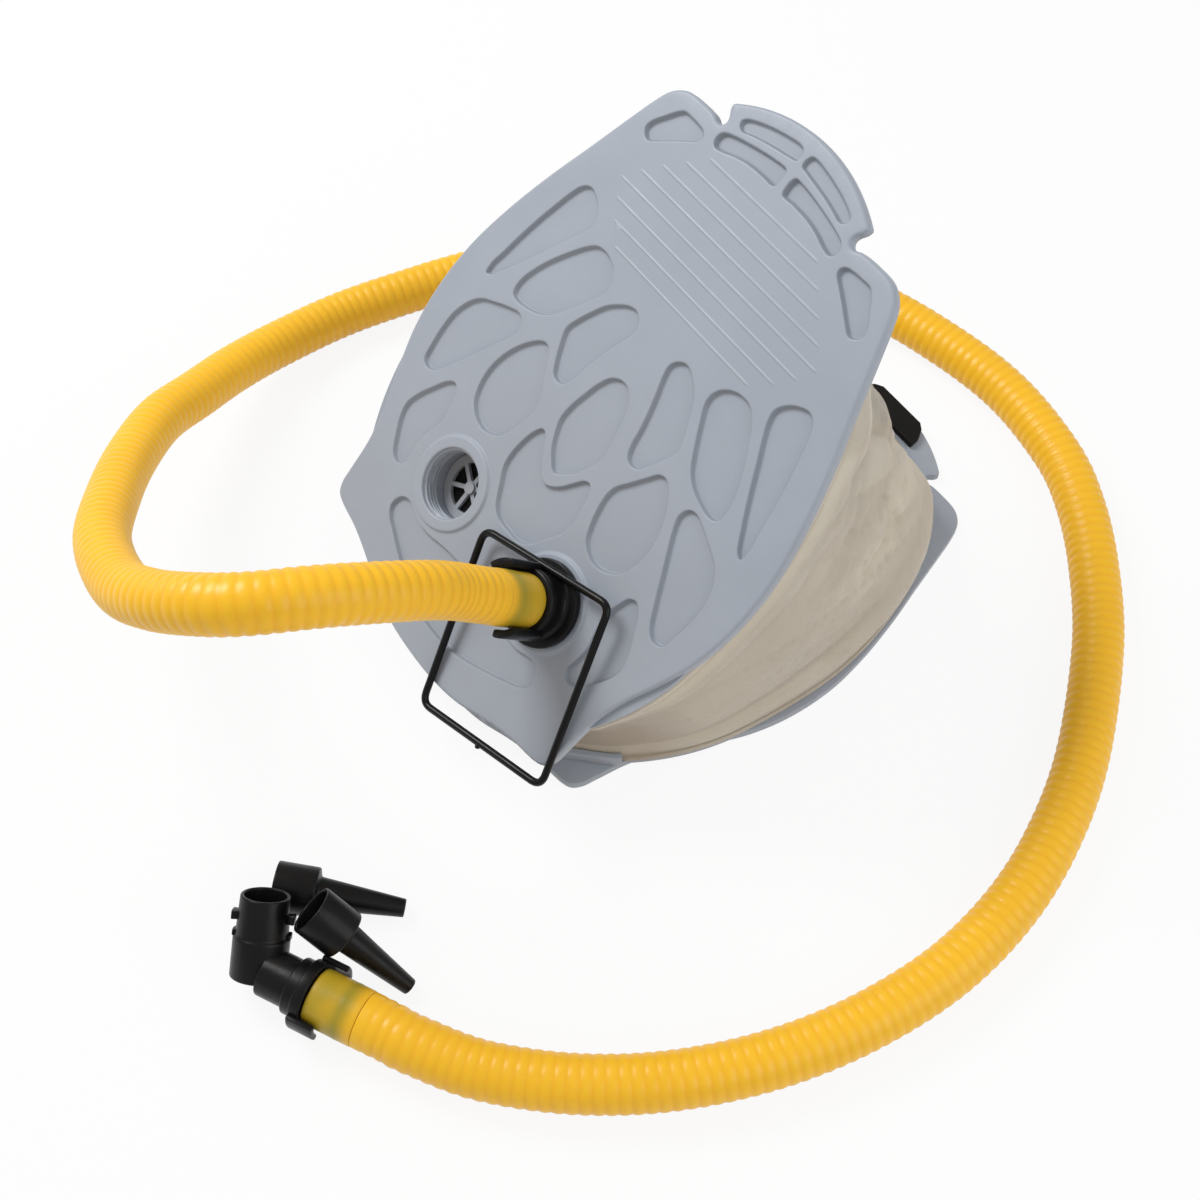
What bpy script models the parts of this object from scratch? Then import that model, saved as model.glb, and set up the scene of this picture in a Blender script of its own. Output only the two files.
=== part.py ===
"""Bellows foot pump with a ribbed air hose, standing open on the floor.

Metres, +Z up.  The bottom plate lies flat on the floor and the origin is the middle of its
underside.  +X runs from the hinge to the tab end, Y runs along the hinge pin.

Both plates share one layout in plate coordinates: u runs from the hinge pin towards the tab,
v along the pin, and w away from the mid plane of the closed pump, so w is the outward normal
of each plate.
"""
import math

import bmesh
import bpy
import numpy as np
from mathutils import Matrix, Vector

# ---------------------------------------------------------------- driving dimensions
PLATE_HALF_THICKNESS = 0.018      # outer face of a plate to the mid plane of the closed pump
RIM_DEPTH = 0.0055                # height of a plate's edge
PANEL = 0.003                     # thickness of a plate inside the bellows
OPEN_ANGLE = math.radians(44.7)   # angle between the plates as the spring holds them
HINGE_X = -0.140                  # hinge pin, from the middle of the underside
EDGE_CHAMFER = 0.0020
GAP = 0.0003                      # clearance between pieces that touch
EPS = 0.0005                      # how far a cutter runs past the face it cuts

PLATE_LENGTH = 0.2915             # hinge pin to the tip of the tab
HINGE_BULGE = 0.0095              # how far the hinge edge runs behind the pin
PLATE_HALF_WIDTH = 0.1195
HINGE_EAR = (0.0125, 0.0935)
TAB_EAR = (0.2665, 0.0760)
TAB_HALF_WIDTH = 0.0460
TAB_RADIUS = 0.088
NOTCH_U = 0.2690
NOTCH_V = 0.0430

BELLOWS_TIP_U = 0.273             # bellows wall at the tab end, from the pin
BELLOWS_HINGE_U = 0.015           # bellows wall at the hinge end
BELLOWS_HALF_WIDTH = 0.1155
SKIN = 0.0012                     # coated fabric
SKIN_SEAT_W = PLATE_HALF_THICKNESS - PANEL - GAP   # where the fabric ends inside a plate
SKIN_STRIP = 0.0040               # height of the fabric's stiff edge strip, from a plate's rim
SKIN_BEAD_W = PLATE_HALF_THICKNESS - RIM_DEPTH - SKIN_STRIP
WALL_THICKNESS = 0.0028           # raised wall round the narrow end of the bellows
WALL_HEIGHT = 0.0070
WALL_TOP_W = PLATE_HALF_THICKNESS - RIM_DEPTH - WALL_HEIGHT
WALL_END_U = 0.039
WALL_CLEAR_RUN = 0.006            # past the wall's end the fabric starts to bulge after this
FREE_RUN = 0.030                  # and bulges fully after this much more
LOW_CREASE = 0.21                 # where along its height the fabric is creased
HIGH_CREASE = 0.80
PLEAT = 0.0020                    # how far it stands out between a plate and a crease
BELLY = 0.0026                    # and between the creases
CORNER_BULGE = 0.0055             # and low down at the tab's corners
FOLD_DEPTH = 0.018                # how far it folds in at the tab
FOLD_HALF_WIDTH = 0.066
# rows of the fabric, from its hidden lower edge to its hidden upper one
BELLOWS_PLACES = (-1.0, 0.0, 0.07, 0.14, 0.21, 0.33, 0.46, 0.60, 0.71, 0.80, 0.90, 1.0, 2.0)
CLAMP_WIDTH = 0.008
CLAMP_HEIGHT = 0.0058

PIN_RADIUS = 0.0025
PIN_LENGTH = 0.098
PIN_CLEARANCE = 0.0001
KNUCKLE_RADIUS = 0.0055
BASE_KNUCKLES = ((-0.037, 0.014), (0.0, 0.018), (0.037, 0.014))   # centre and width
LID_KNUCKLES = ((-0.0195, 0.0198), (0.0195, 0.0198))
CAP_RADIUS = 0.0048
CAP_LENGTH = 0.005

PORT_U = 0.0625
PORT_V = 0.041
PORT_RADIUS = 0.0172
PORT_RING_RADIUS = PORT_RADIUS + 0.0061
PORT_RING_HEIGHT = 0.0012
PORT_WALL = 0.0036
PORT_BOSS_RADIUS = PORT_RADIUS + PORT_WALL
PORT_DEPTH = 0.019                # from the plate's outer face to the foot of the boss
PORT_BOTTOM_W = PLATE_HALF_THICKNESS - PORT_DEPTH
LEDGE_RADIUS = PORT_RADIUS - 0.0022
LEDGE_HEIGHT = 0.002
LEDGE_TOP_W = PORT_BOTTOM_W + LEDGE_HEIGHT
GROOVE_RADIUS = PORT_RADIUS + 0.0020
GROOVE_W = (PLATE_HALF_THICKNESS - 0.0075, PLATE_HALF_THICKNESS - 0.0035)
ENTRY_WIDTH = 0.009

SEAT_THICKNESS = 0.002
SEAT_HUB_RADIUS = 0.0035
SEAT_RIM_RADIUS = 0.0125
SEAT_SPOKES = 6
SPOKE_WIDTH = 0.0022
FLAP_RADIUS = 0.0138
FLAP_THICKNESS = 0.0008
FLAP_LIFT = 0.002
STUD_RADIUS = 0.0014
STUD_HEAD_RADIUS = 0.0030
STUD_HEAD = 0.001

FLANGE_RADIUS = PORT_RADIUS + 0.0033
FLANGE_HEIGHT = 0.0035
NECK_DEPTH = 0.0085               # how far the neck reaches below the plate's outer face
NECK_BOTTOM_W = PLATE_HALF_THICKNESS - NECK_DEPTH
COLLAR_RADIUS = 0.0144
COLLAR_HEIGHT = 0.016             # above the plate's outer face
COLLAR_TOP_W = PLATE_HALF_THICKNESS + COLLAR_HEIGHT
CONNECTOR_BORE = 0.0080
SPIGOT_LENGTH = 0.020
WING_RADIUS = (0.0142, 0.0178)
WING_W = (PLATE_HALF_THICKNESS + 0.0105, PLATE_HALF_THICKNESS + 0.0320)
WING_WIDTH = 0.011
WING_ANGLE = math.radians(49.5)
LUG_HALF_ANGLE = math.radians(13)

HOSE_DIAMETER = 0.025
HOSE_VALLEY_DIAMETER = 0.0222
HOSE_BORE_DIAMETER = 0.0195
HOSE_RIBS = 110
CUFF_LENGTH = 0.024
CUFF_DIAMETER = 0.0254
# middle of the hose's run from its straight start at the pump to its straight end, from the
# middle of the underside
HOSE_ROUTE = (
    (-0.1680, -0.0437, 0.1360), (-0.1944, -0.0430, 0.1540), (-0.2150, -0.0400, 0.1640),
    (-0.2366, -0.0326, 0.1680), (-0.2507, -0.0206, 0.1640), (-0.2640, 0.0040, 0.1480),
    (-0.2690, 0.0330, 0.1280), (-0.2630, 0.0750, 0.1060), (-0.2450, 0.1130, 0.0850),
    (-0.2250, 0.1440, 0.0680), (-0.2010, 0.1700, 0.0540), (-0.1750, 0.1870, 0.0410),
    (-0.1490, 0.2020, 0.0300), (-0.1190, 0.2140, 0.0200), (-0.0780, 0.2210, 0.0134),
    (-0.0410, 0.2180, 0.0127), (0.0100, 0.2090, 0.0127), (0.0650, 0.1900, 0.0127),
    (0.1150, 0.1600, 0.0127), (0.1550, 0.1150, 0.0127), (0.1820, 0.0680, 0.0127),
    (0.1960, 0.0220, 0.0127), (0.2020, -0.0260, 0.0127), (0.1950, -0.0740, 0.0127),
    (0.1810, -0.1070, 0.0127), (0.1580, -0.1410, 0.0127), (0.1270, -0.1760, 0.0127),
    (0.0790, -0.2160, 0.0127), (0.0380, -0.2400, 0.0127), (-0.0020, -0.2550, 0.0127),
    (-0.0450, -0.2620, 0.0127), (-0.0900, -0.2600, 0.0127), (-0.1320, -0.2510, 0.0127),
    (-0.1720, -0.2350, 0.0127), (-0.2060, -0.2140, 0.0127), (-0.2350, -0.1880, 0.0127),
)
HOSE_END = (-0.2655, -0.1425, 0.0149)
HOSE_END_WAY = (-0.4950, 0.8690, 0.0)

ELBOW_COLLAR = (0.0146, 0.005)    # radius and length of each step of the elbow's arm
ELBOW_STEP = (0.0128, 0.005)
ELBOW_ARM = (0.0110, 0.014)
ELBOW_WING_RADIUS = (0.0140, 0.0168)
ELBOW_WING_RUN = (-0.0085, 0.0045)
ELBOW_CUP_RADIUS = 0.0123
ELBOW_NECK_RADIUS = (0.0114, 0.0107)
ELBOW_CUP_LENGTH = 0.018
ELBOW_NECK_LENGTH = 0.0184
ELBOW_BORE = 0.0090
ELBOW_FOOT = (-0.2934, -0.0982, 0.0098)
ELBOW_AXIS = (0.500, 0.545, 0.673)
ELBOW_LUGS = ((0.0078, 0.0114, 0.0024), (0.0160, 0.0185, 0.0014))   # below the rim, and proud

NOZZLE_BASE_LENGTH = 0.0187
NOZZLE_BASE_RADIUS = 0.0112
NOZZLE_FOOT = (-0.2678, -0.0656, 0.0116)
NOZZLE_TIP = (-0.2242, -0.1039, 0.0048)
SLIM_NOZZLE_FOOT = (-0.2627, -0.0959, 0.0366)
SLIM_NOZZLE_TIP = (-0.2409, -0.1367, 0.0045)

BAIL_WIRE = 0.0032
# corners of the wire loop along and across its top bar: it is bent a little out of square
BAIL_CORNERS = ((-0.0385, 0.0), (-0.0358, 0.0890), (0.0440, 0.0886), (0.0412, 0.0))
BAIL_CORNER = 0.006
BAIL_TURN = math.radians(17.5)    # how far the bail hangs askew on the plate
BAIL_SIDE_SHIFT = 0.0048
BAIL_DROP = math.radians(3.7)

BUMPER_U = (0.2760, 0.2902)
BUMPER_HEIGHT = 0.0040

SPRING_U = 0.140
SPRING_RADIUS = 0.024
SPRING_WIRE = 0.003
SPRING_TURNS = 7
SPRING_SEAT_RADIUS = 0.029
SPRING_SEAT_THICKNESS = 0.0015
SPRING_BOSS_RADIUS = 0.0205
SPRING_BOSS_HEIGHT = 0.005

POCKET_DEPTH = 0.0016
SLOT_DEPTH = 0.0018
GRIP_DEPTH = 0.0021
RIB_HEIGHT = 0.0004
RIB_WIDTH = 0.0012
RIB_FIRST_U = 0.198
RIB_PITCH = 0.0081
RIB_HALF_LENGTHS = (0.050, 0.059, 0.066, 0.071, 0.064, 0.056, 0.047, 0.038)

SCREW_HEAD_RADIUS = 0.0031
SCREW_HEAD = 0.0016
SCREW_RADIUS = 0.0014
BASE_SCREW_LENGTH = 0.0060
LID_SCREW_LENGTH = 0.0072
LID_SCREW_BITE = 0.0012
SCREW_AT = (0.10, 0.21, 0.32, 0.42)   # share of the clamp's run from its hinge end to the tab

# ---------------------------------------------------------------- colours
BLUE_GREY = (0.40, 0.44, 0.51)
DARK_GREY = (0.25, 0.27, 0.31)
BEIGE = (0.48, 0.43, 0.34)
BLACK = (0.012, 0.012, 0.013)
YELLOW = (0.88, 0.45, 0.03)
OLIVE = (0.45, 0.33, 0.05)
STEEL = (0.55, 0.55, 0.56)


# ---------------------------------------------------------------- outlines
def smooth(points, per_span):
    """Points on a Catmull-Rom curve through the given points, per_span to a span."""
    pts = [np.array(p, float) for p in points]
    pts = [2 * pts[0] - pts[1]] + pts + [2 * pts[-1] - pts[-2]]
    out = []
    for a, b, c, d in zip(pts, pts[1:], pts[2:], pts[3:]):
        for k in range(per_span):
            t = k / per_span
            out.append(0.5 * (2 * b + (c - a) * t + (2 * a - 5 * b + 4 * c - d) * t * t
                              + (3 * b - a - 3 * c + d) * t ** 3))
    out.append(pts[-2])
    return [tuple(p) for p in out]


def rounded(points, radius, steps=2):
    """A closed outline whose corners are arcs of the given radius."""
    out = []
    count = len(points)
    for i in range(count):
        corner = Vector(points[i])
        before = (Vector(points[i - 1]) - corner)
        after = (Vector(points[(i + 1) % count]) - corner)
        half = before.angle(after) / 2
        reach = min(radius / math.tan(half), before.length * 0.45, after.length * 0.45)
        start = corner + before.normalized() * reach
        end = corner + after.normalized() * reach
        for k in range(steps + 1):
            t = k / steps
            out.append(tuple(start.lerp(corner, t).lerp(corner.lerp(end, t), t)))
    return out


def mirrored(half):
    """Close a half outline, given from v = 0 at the hinge to v = 0 at the tab."""
    other = [(u, -v) for u, v in reversed(half) if v > 1e-6]
    return list(half) + other


def offset(outline, distance):
    """The outline moved by a distance, inwards when positive."""
    out = []
    count = len(outline)
    area = sum(outline[i - 1][0] * outline[i][1] - outline[i][0] * outline[i - 1][1]
               for i in range(count))
    side = 1 if area > 0 else -1
    for i in range(count):
        here = Vector(outline[i])
        first = (here - Vector(outline[i - 1])).normalized()
        second = (Vector(outline[(i + 1) % count]) - here).normalized()
        normal = Vector((-(first.y + second.y), first.x + second.x))
        normal.normalize()
        stretch = max(0.5, normal.dot(Vector((-first.y, first.x))))
        out.append(tuple(here + normal * (side * distance / stretch)))
    return out


def plate_half(per_span=1):
    """Half of a plate's outline: hinge edge, ears, side, notch and tab."""
    hinge = smooth([(-HINGE_BULGE, 0.0), (-0.0085, 0.020), (-0.0050, 0.038), (0.0015, 0.055),
                    (0.0065, 0.072), (0.0085, 0.084)], per_span)
    ear_u, ear_v = HINGE_EAR
    hinge_ear = [(0.0095, ear_v - 0.0050), (ear_u - 0.0010, ear_v - 0.0008), (0.0165, ear_v + 0.0018)]
    side = smooth([(0.024, 0.0960), (0.042, 0.0975), (0.060, 0.1020), (0.080, 0.1100),
                   (0.100, 0.1165), (0.123, PLATE_HALF_WIDTH), (0.148, 0.1183), (0.172, 0.1130),
                   (0.198, 0.1045), (0.222, 0.0950), (0.244, 0.0865), (0.257, 0.0812)], per_span)
    ear_u, ear_v = TAB_EAR
    tab_ear = [(0.2630, ear_v + 0.0020), (ear_u, ear_v - 0.0015), (0.2692, ear_v - 0.0068)]
    notch = [(0.2700, 0.060), (0.2695, 0.050), (NOTCH_U - 0.0008, 0.0468),
             (NOTCH_U - 0.0004, 0.0442), (NOTCH_U + 0.0016, NOTCH_V),
             (NOTCH_U + 0.0040, NOTCH_V + 0.0006), (0.2755, TAB_HALF_WIDTH - 0.0006),
             (0.2783, TAB_HALF_WIDTH)]
    centre = PLATE_LENGTH - TAB_RADIUS
    tab = []
    start = math.asin((TAB_HALF_WIDTH - 0.0020) / TAB_RADIUS)
    count = 6 * per_span
    for k in range(count + 1):
        angle = start * (1 - k / count)
        tab.append((centre + TAB_RADIUS * math.cos(angle), TAB_RADIUS * math.sin(angle)))
    return hinge + hinge_ear + side + tab_ear + notch + tab


def bellows_half(per_span=1):
    """Half of the line where the fabric leaves the plates."""
    hinge = [(BELLOWS_HINGE_U, 0.0), (BELLOWS_HINGE_U, 0.028), (BELLOWS_HINGE_U, 0.054),
             (BELLOWS_HINGE_U + 0.0005, 0.074)]
    side = smooth([(0.0235, 0.0830), (0.0360, 0.0940), (0.0500, 0.1020), (0.0660, 0.1085),
                   (0.0840, 0.1130), (0.1040, 0.1150), (0.1260, BELLOWS_HALF_WIDTH),
                   (0.1500, 0.1143), (0.1730, 0.1100), (0.1950, 0.1030), (0.2160, 0.0940),
                   (0.2330, 0.0830), (0.2470, 0.0690), (0.2580, 0.0525), (0.2655, 0.0360),
                   (0.2708, 0.0190), (BELLOWS_TIP_U, 0.0)], per_span)
    return hinge + side


POCKETS = (
    ((0.1448, 0.1000), (0.1460, 0.0970), (0.1536, 0.0915), (0.1657, 0.0838), (0.1791, 0.0760),
     (0.1870, 0.0712), (0.1938, 0.0676), (0.1990, 0.0666), (0.2038, 0.0695), (0.2076, 0.0750),
     (0.2088, 0.0805), (0.2060, 0.0848), (0.1995, 0.0880), (0.1909, 0.0908), (0.1807, 0.0938),
     (0.1691, 0.0966), (0.1580, 0.0988), (0.1500, 0.1006)),
    ((0.1544, 0.0549), (0.1621, 0.0491), (0.1719, 0.0428), (0.1795, 0.0387), (0.1844, 0.0385),
     (0.1889, 0.0412), (0.1922, 0.0465), (0.1932, 0.0525), (0.1921, 0.0575), (0.1880, 0.0622),
     (0.1802, 0.0682), (0.1717, 0.0738), (0.1622, 0.0785), (0.1545, 0.0808), (0.1485, 0.0800),
     (0.1468, 0.0758), (0.1497, 0.0623)),
    ((0.0938, 0.0890), (0.1033, 0.0827), (0.1132, 0.0769), (0.1235, 0.0708), (0.1319, 0.0661),
     (0.1377, 0.0642), (0.1422, 0.0661), (0.1437, 0.0703), (0.1418, 0.0769), (0.1381, 0.0856),
     (0.1343, 0.0931), (0.1282, 0.0981), (0.1194, 0.1013), (0.1102, 0.1018), (0.1003, 0.1008),
     (0.0925, 0.0990), (0.0909, 0.0939)),
    ((0.0969, 0.0364), (0.1033, 0.0329), (0.1107, 0.0306), (0.1182, 0.0294), (0.1235, 0.0304),
     (0.1299, 0.0347), (0.1374, 0.0398), (0.1428, 0.0438), (0.1438, 0.0477), (0.1411, 0.0522),
     (0.1338, 0.0581), (0.1257, 0.0621), (0.1162, 0.0642), (0.1071, 0.0635), (0.0990, 0.0601),
     (0.0939, 0.0532), (0.0927, 0.0450)),
    ((0.1375, 0.0254), (0.1426, 0.0230), (0.1501, 0.0215), (0.1582, 0.0192), (0.1664, 0.0164),
     (0.1748, 0.0133), (0.1794, 0.0127), (0.1829, 0.0149), (0.1850, 0.0188), (0.1841, 0.0233),
     (0.1807, 0.0287), (0.1765, 0.0332), (0.1697, 0.0374), (0.1617, 0.0415), (0.1559, 0.0433),
     (0.1494, 0.0409), (0.1421, 0.0370), (0.1370, 0.0333), (0.1358, 0.0290)),
    ((0.0783, 0.0682), (0.0840, 0.0684), (0.0900, 0.0698), (0.0951, 0.0720), (0.0967, 0.0755),
     (0.0942, 0.0795), (0.0873, 0.0841), (0.0789, 0.0889), (0.0714, 0.0915), (0.0651, 0.0905),
     (0.0557, 0.0853), (0.0484, 0.0796), (0.0471, 0.0745), (0.0508, 0.0708), (0.0570, 0.0716),
     (0.0650, 0.0720), (0.0715, 0.0702)),
)
CRESCENT_HALF = ((0.0071, 0.0), (0.0087, 0.0161), (0.0128, 0.0293), (0.0177, 0.0413),
                 (0.0225, 0.0515), (0.0260, 0.0582), (0.0303, 0.0618), (0.0350, 0.0614),
                 (0.0384, 0.0588), (0.0396, 0.0545), (0.0385, 0.0500), (0.0366, 0.0440),
                 (0.0364, 0.0347), (0.0385, 0.0245), (0.0399, 0.0147), (0.0405, 0.0))
BUTTERFLY_HALF = ((0.0700, 0.0), (0.0706, 0.0080), (0.0735, 0.0133), (0.0817, 0.0190),
                  (0.0896, 0.0238), (0.0970, 0.0248), (0.1069, 0.0236), (0.1122, 0.0218),
                  (0.1156, 0.0192), (0.1146, 0.0160), (0.1092, 0.0118), (0.1043, 0.0082),
                  (0.1004, 0.0036), (0.0990, 0.0))
DROP_HALF = ((0.1060, 0.0), (0.1092, 0.0050), (0.1138, 0.0095), (0.1197, 0.0130),
             (0.1255, 0.0152), (0.1330, 0.0150), (0.1415, 0.0130), (0.1498, 0.0105),
             (0.1557, 0.0070), (0.1585, 0.0025), (0.1588, 0.0))
EAR_POCKET = ((0.2567, 0.0481), (0.2590, 0.0475), (0.2611, 0.0495), (0.2619, 0.0536),
              (0.2621, 0.0588), (0.2619, 0.0638), (0.2600, 0.0665), (0.2547, 0.0709),
              (0.2493, 0.0751), (0.2459, 0.0762), (0.2430, 0.0742), (0.2417, 0.0710),
              (0.2441, 0.0666), (0.2489, 0.0597), (0.2529, 0.0536))
OUTER_SLOT = ((0.2786, 0.0020), (0.2820, 0.0018), (0.2842, 0.0032), (0.2846, 0.0060),
              (0.2838, 0.0125), (0.2820, 0.0215), (0.2795, 0.0300), (0.2774, 0.0348),
              (0.2756, 0.0366), (0.2738, 0.0360), (0.2722, 0.0335), (0.2734, 0.0285),
              (0.2751, 0.0213), (0.2766, 0.0128), (0.2778, 0.0055))
INNER_SLOT = ((0.2648, 0.0030), (0.2680, 0.0022), (0.2712, 0.0023), (0.2733, 0.0034),
              (0.2734, 0.0070), (0.2723, 0.0165), (0.2704, 0.0270), (0.2686, 0.0350),
              (0.2668, 0.0400), (0.2648, 0.0416), (0.2618, 0.0416), (0.2597, 0.0396),
              (0.2602, 0.0350), (0.2624, 0.0280), (0.2639, 0.0205), (0.2645, 0.0110))


def flipped(outline):
    return [(u, -v) for u, v in reversed(outline)]


def side_pockets():
    """The six honeycomb pockets of each side."""
    out = []
    for points in POCKETS:
        out += [points, flipped(points)]
    return out


def middle_pockets():
    out = []
    for half in (CRESCENT_HALF, BUTTERFLY_HALF, DROP_HALF):
        out.append(list(half) + [(u, -v) for u, v in reversed(half) if v > 0])
    return out


def tab_slots():
    return [OUTER_SLOT, flipped(OUTER_SLOT)], [INNER_SLOT, flipped(INNER_SLOT)]


# ---------------------------------------------------------------- mesh helpers
def material(name, colour, roughness, metallic=0.0):
    made = bpy.data.materials.new(name)
    made.use_nodes = True
    shader = made.node_tree.nodes["Principled BSDF"]
    shader.inputs["Base Color"].default_value = (*colour, 1.0)
    shader.inputs["Roughness"].default_value = roughness
    shader.inputs["Metallic"].default_value = metallic
    return made


def add(name, mesh, finish=None, parent=None, matrix=None):
    obj = bpy.data.objects.new(name, mesh)
    bpy.context.scene.collection.objects.link(obj)
    if finish is not None:
        obj.data.materials.clear()
        obj.data.materials.append(finish)
    if parent is not None:
        obj.parent = parent
    if matrix is not None:
        obj.matrix_local = matrix
    return obj


def mesh_of(bm, name):
    bmesh.ops.recalc_face_normals(bm, faces=bm.faces)
    mesh = bpy.data.meshes.new(name)
    bm.to_mesh(mesh)
    bm.free()
    return mesh


def prism(outline, low, high, chamfer_top=0.0):
    """A solid with the given outline between two heights."""
    bm = bmesh.new()
    rings = [(outline, low)]
    if chamfer_top:
        rings += [(outline, high - chamfer_top), (offset(outline, chamfer_top), high)]
    else:
        rings += [(outline, high)]
    rows = [[bm.verts.new((u, v, z)) for u, v in ring] for ring, z in rings]
    count = len(outline)
    for lower, upper in zip(rows, rows[1:]):
        for i in range(count):
            j = (i + 1) % count
            bm.faces.new((lower[i], lower[j], upper[j], upper[i]))
    bm.faces.new(list(reversed(rows[0])))
    bm.faces.new(rows[-1])
    return mesh_of(bm, "prism")


def turned(profile, steps, squeeze=1.0):
    """A closed profile of (radius, height) points turned round Z; radius 0 closes on the axis."""
    bm = bmesh.new()
    rows = []
    for radius, height in profile:
        if radius < 1e-7:
            rows.append([bm.verts.new((0, 0, height))])
            continue
        row = []
        for k in range(steps):
            angle = 2 * math.pi * k / steps
            row.append(bm.verts.new((radius * math.cos(angle), squeeze * radius * math.sin(angle),
                                     height)))
        rows.append(row)
    pairs = list(zip(rows, rows[1:]))
    if len(rows[0]) > 1 and len(rows[-1]) > 1:
        pairs.append((rows[-1], rows[0]))
    for first, second in pairs:
        for k in range(steps):
            n = (k + 1) % steps
            if len(first) == 1:
                bm.faces.new((first[0], second[n], second[k]))
            elif len(second) == 1:
                bm.faces.new((first[k], first[n], second[0]))
            else:
                bm.faces.new((first[k], first[n], second[n], second[k]))
    return mesh_of(bm, "turned")


def disc(radius, low, high, steps=32):
    return turned([(0, low), (radius, low), (radius, high), (0, high)], steps)


def block(u_range, v_range, w_range):
    (a, b), (c, d) = u_range, v_range
    return prism([(a, c), (b, c), (b, d), (a, d)], *w_range)


def moved(mesh, matrix):
    mesh.transform(matrix)
    return mesh


def joined(meshes):
    """Several separate closed bodies in one mesh, for a cutter."""
    bm = bmesh.new()
    for mesh in meshes:
        bm.from_mesh(mesh)
    return mesh_of(bm, "cutters")


def boolean(mesh, tool, operation):
    """The mesh after one exact Boolean with the tool mesh."""
    body = add("body", mesh)
    other = add("tool", tool)
    step = body.modifiers.new("step", "BOOLEAN")
    step.operation = operation
    step.solver = "EXACT"
    step.object = other
    graph = bpy.context.evaluated_depsgraph_get()
    result = bpy.data.meshes.new_from_object(body.evaluated_get(graph))
    bpy.data.objects.remove(body)
    bpy.data.objects.remove(other)
    return result


def cut(mesh, *tools):
    for tool in tools:
        mesh = boolean(mesh, tool, "DIFFERENCE")
    return mesh


def fuse(mesh, *tools):
    for tool in tools:
        mesh = boolean(mesh, tool, "UNION")
    return mesh


def soften(obj, angle=35):
    obj.data.shade_smooth()
    obj.data.set_sharp_from_angle(angle=math.radians(angle))
    return obj


def along(point, direction):
    """A placement whose Z axis runs along a direction from a point."""
    turn = Vector((0, 0, 1)).rotation_difference(Vector(direction).normalized())
    return Matrix.Translation(point) @ turn.to_matrix().to_4x4()


def across_pin(mesh):
    """Turn a mesh made round Z so that it runs along the hinge pin."""
    return moved(mesh, Matrix.Rotation(math.radians(-90), 4, "X"))


def tube(points, radii, sides_resolution, name):
    """A filled curve through the points, as a mesh."""
    curve = bpy.data.curves.new(name, "CURVE")
    curve.dimensions = "3D"
    curve.bevel_depth = 1.0
    curve.bevel_resolution = sides_resolution
    curve.use_fill_caps = True
    spline = curve.splines.new("POLY")
    spline.points.add(len(points) - 1)
    for item, place, radius in zip(spline.points, points, radii):
        item.co = (*place, 1.0)
        item.radius = radius
    holder = bpy.data.objects.new(name, curve)
    bpy.context.scene.collection.objects.link(holder)
    graph = bpy.context.evaluated_depsgraph_get()
    mesh = bpy.data.meshes.new_from_object(holder.evaluated_get(graph))
    bpy.data.objects.remove(holder)
    bm = bmesh.new()
    bm.from_mesh(mesh)
    bmesh.ops.remove_doubles(bm, verts=bm.verts, dist=1e-6)
    return mesh_of(bm, name)


# ---------------------------------------------------------------- plates
def plate_wall(outline):
    """The raised wall round the narrow end of the bellows, before the cavity is cut."""
    inner = offset(outline, EPS)
    outer = offset(outline, -GAP - WALL_THICKNESS)
    keep = [i for i, (u, v) in enumerate(outline) if u < WALL_END_U]
    split = next(k for k in range(1, len(keep)) if keep[k] != keep[k - 1] + 1)
    order = keep[split:] + keep[:split]
    past = (order[0] - 1, (order[-1] + 1) % len(outline))

    def run(side):
        """One side of the wall, with ends a little past its last corners."""
        ends = [Vector(side[a]).lerp(Vector(side[b]), 0.3) for a, b in zip((order[0], order[-1]), past)]
        return [tuple(ends[0])] + [side[i] for i in order] + [tuple(ends[1])]

    return run(outer) + list(reversed(run(inner)))


def knuckles(spans, sign):
    """Hinge barrels with their webs; sign -1 stands them on the bottom plate."""
    out = []
    edge = offset(mirrored(plate_half()), GAP)
    for centre, width in spans:
        barrel = across_pin(disc(KNUCKLE_RADIUS, centre - width / 2, centre + width / 2, 20))
        low, high = sorted((0.0, sign * (PLATE_HALF_THICKNESS - RIM_DEPTH + EPS)))
        reach = KNUCKLE_RADIUS - GAP
        web = block((-reach, reach), (centre - width / 2, centre + width / 2), (low, high))
        web = boolean(web, prism(edge, low - EPS, high + EPS), "INTERSECT")
        out.append(fuse(barrel, web))
    return out


def plate_shell(sign):
    """A plate with its cavity, raised wall and knuckles; sign +1 is the lid."""
    outline = mirrored(plate_half())
    line = mirrored(bellows_half())
    rim_w = PLATE_HALF_THICKNESS - RIM_DEPTH
    mesh = prism(outline, rim_w, PLATE_HALF_THICKNESS, EDGE_CHAMFER)
    mesh = fuse(mesh, prism(plate_wall(line), WALL_TOP_W, rim_w + EPS))
    cavity = prism(offset(line, -GAP), WALL_TOP_W - EPS, PLATE_HALF_THICKNESS - PANEL)
    mesh = cut(mesh, cavity)
    if sign < 0:
        mesh = moved(mesh, Matrix.Scale(-1, 4, (0, 0, 1)))
        mesh.flip_normals()
    mesh = fuse(mesh, *knuckles(BASE_KNUCKLES if sign < 0 else LID_KNUCKLES, sign))
    return cut(mesh, across_pin(disc(PIN_RADIUS + PIN_CLEARANCE, -PIN_LENGTH, PIN_LENGTH, 16)))


def lift(outline, depth, sign):
    """A cutter of the given depth in a plate's outer face."""
    face = sign * PLATE_HALF_THICKNESS
    low, high = sorted((face - sign * depth, face + sign * EPS))
    return prism(outline, low, high)


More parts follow.
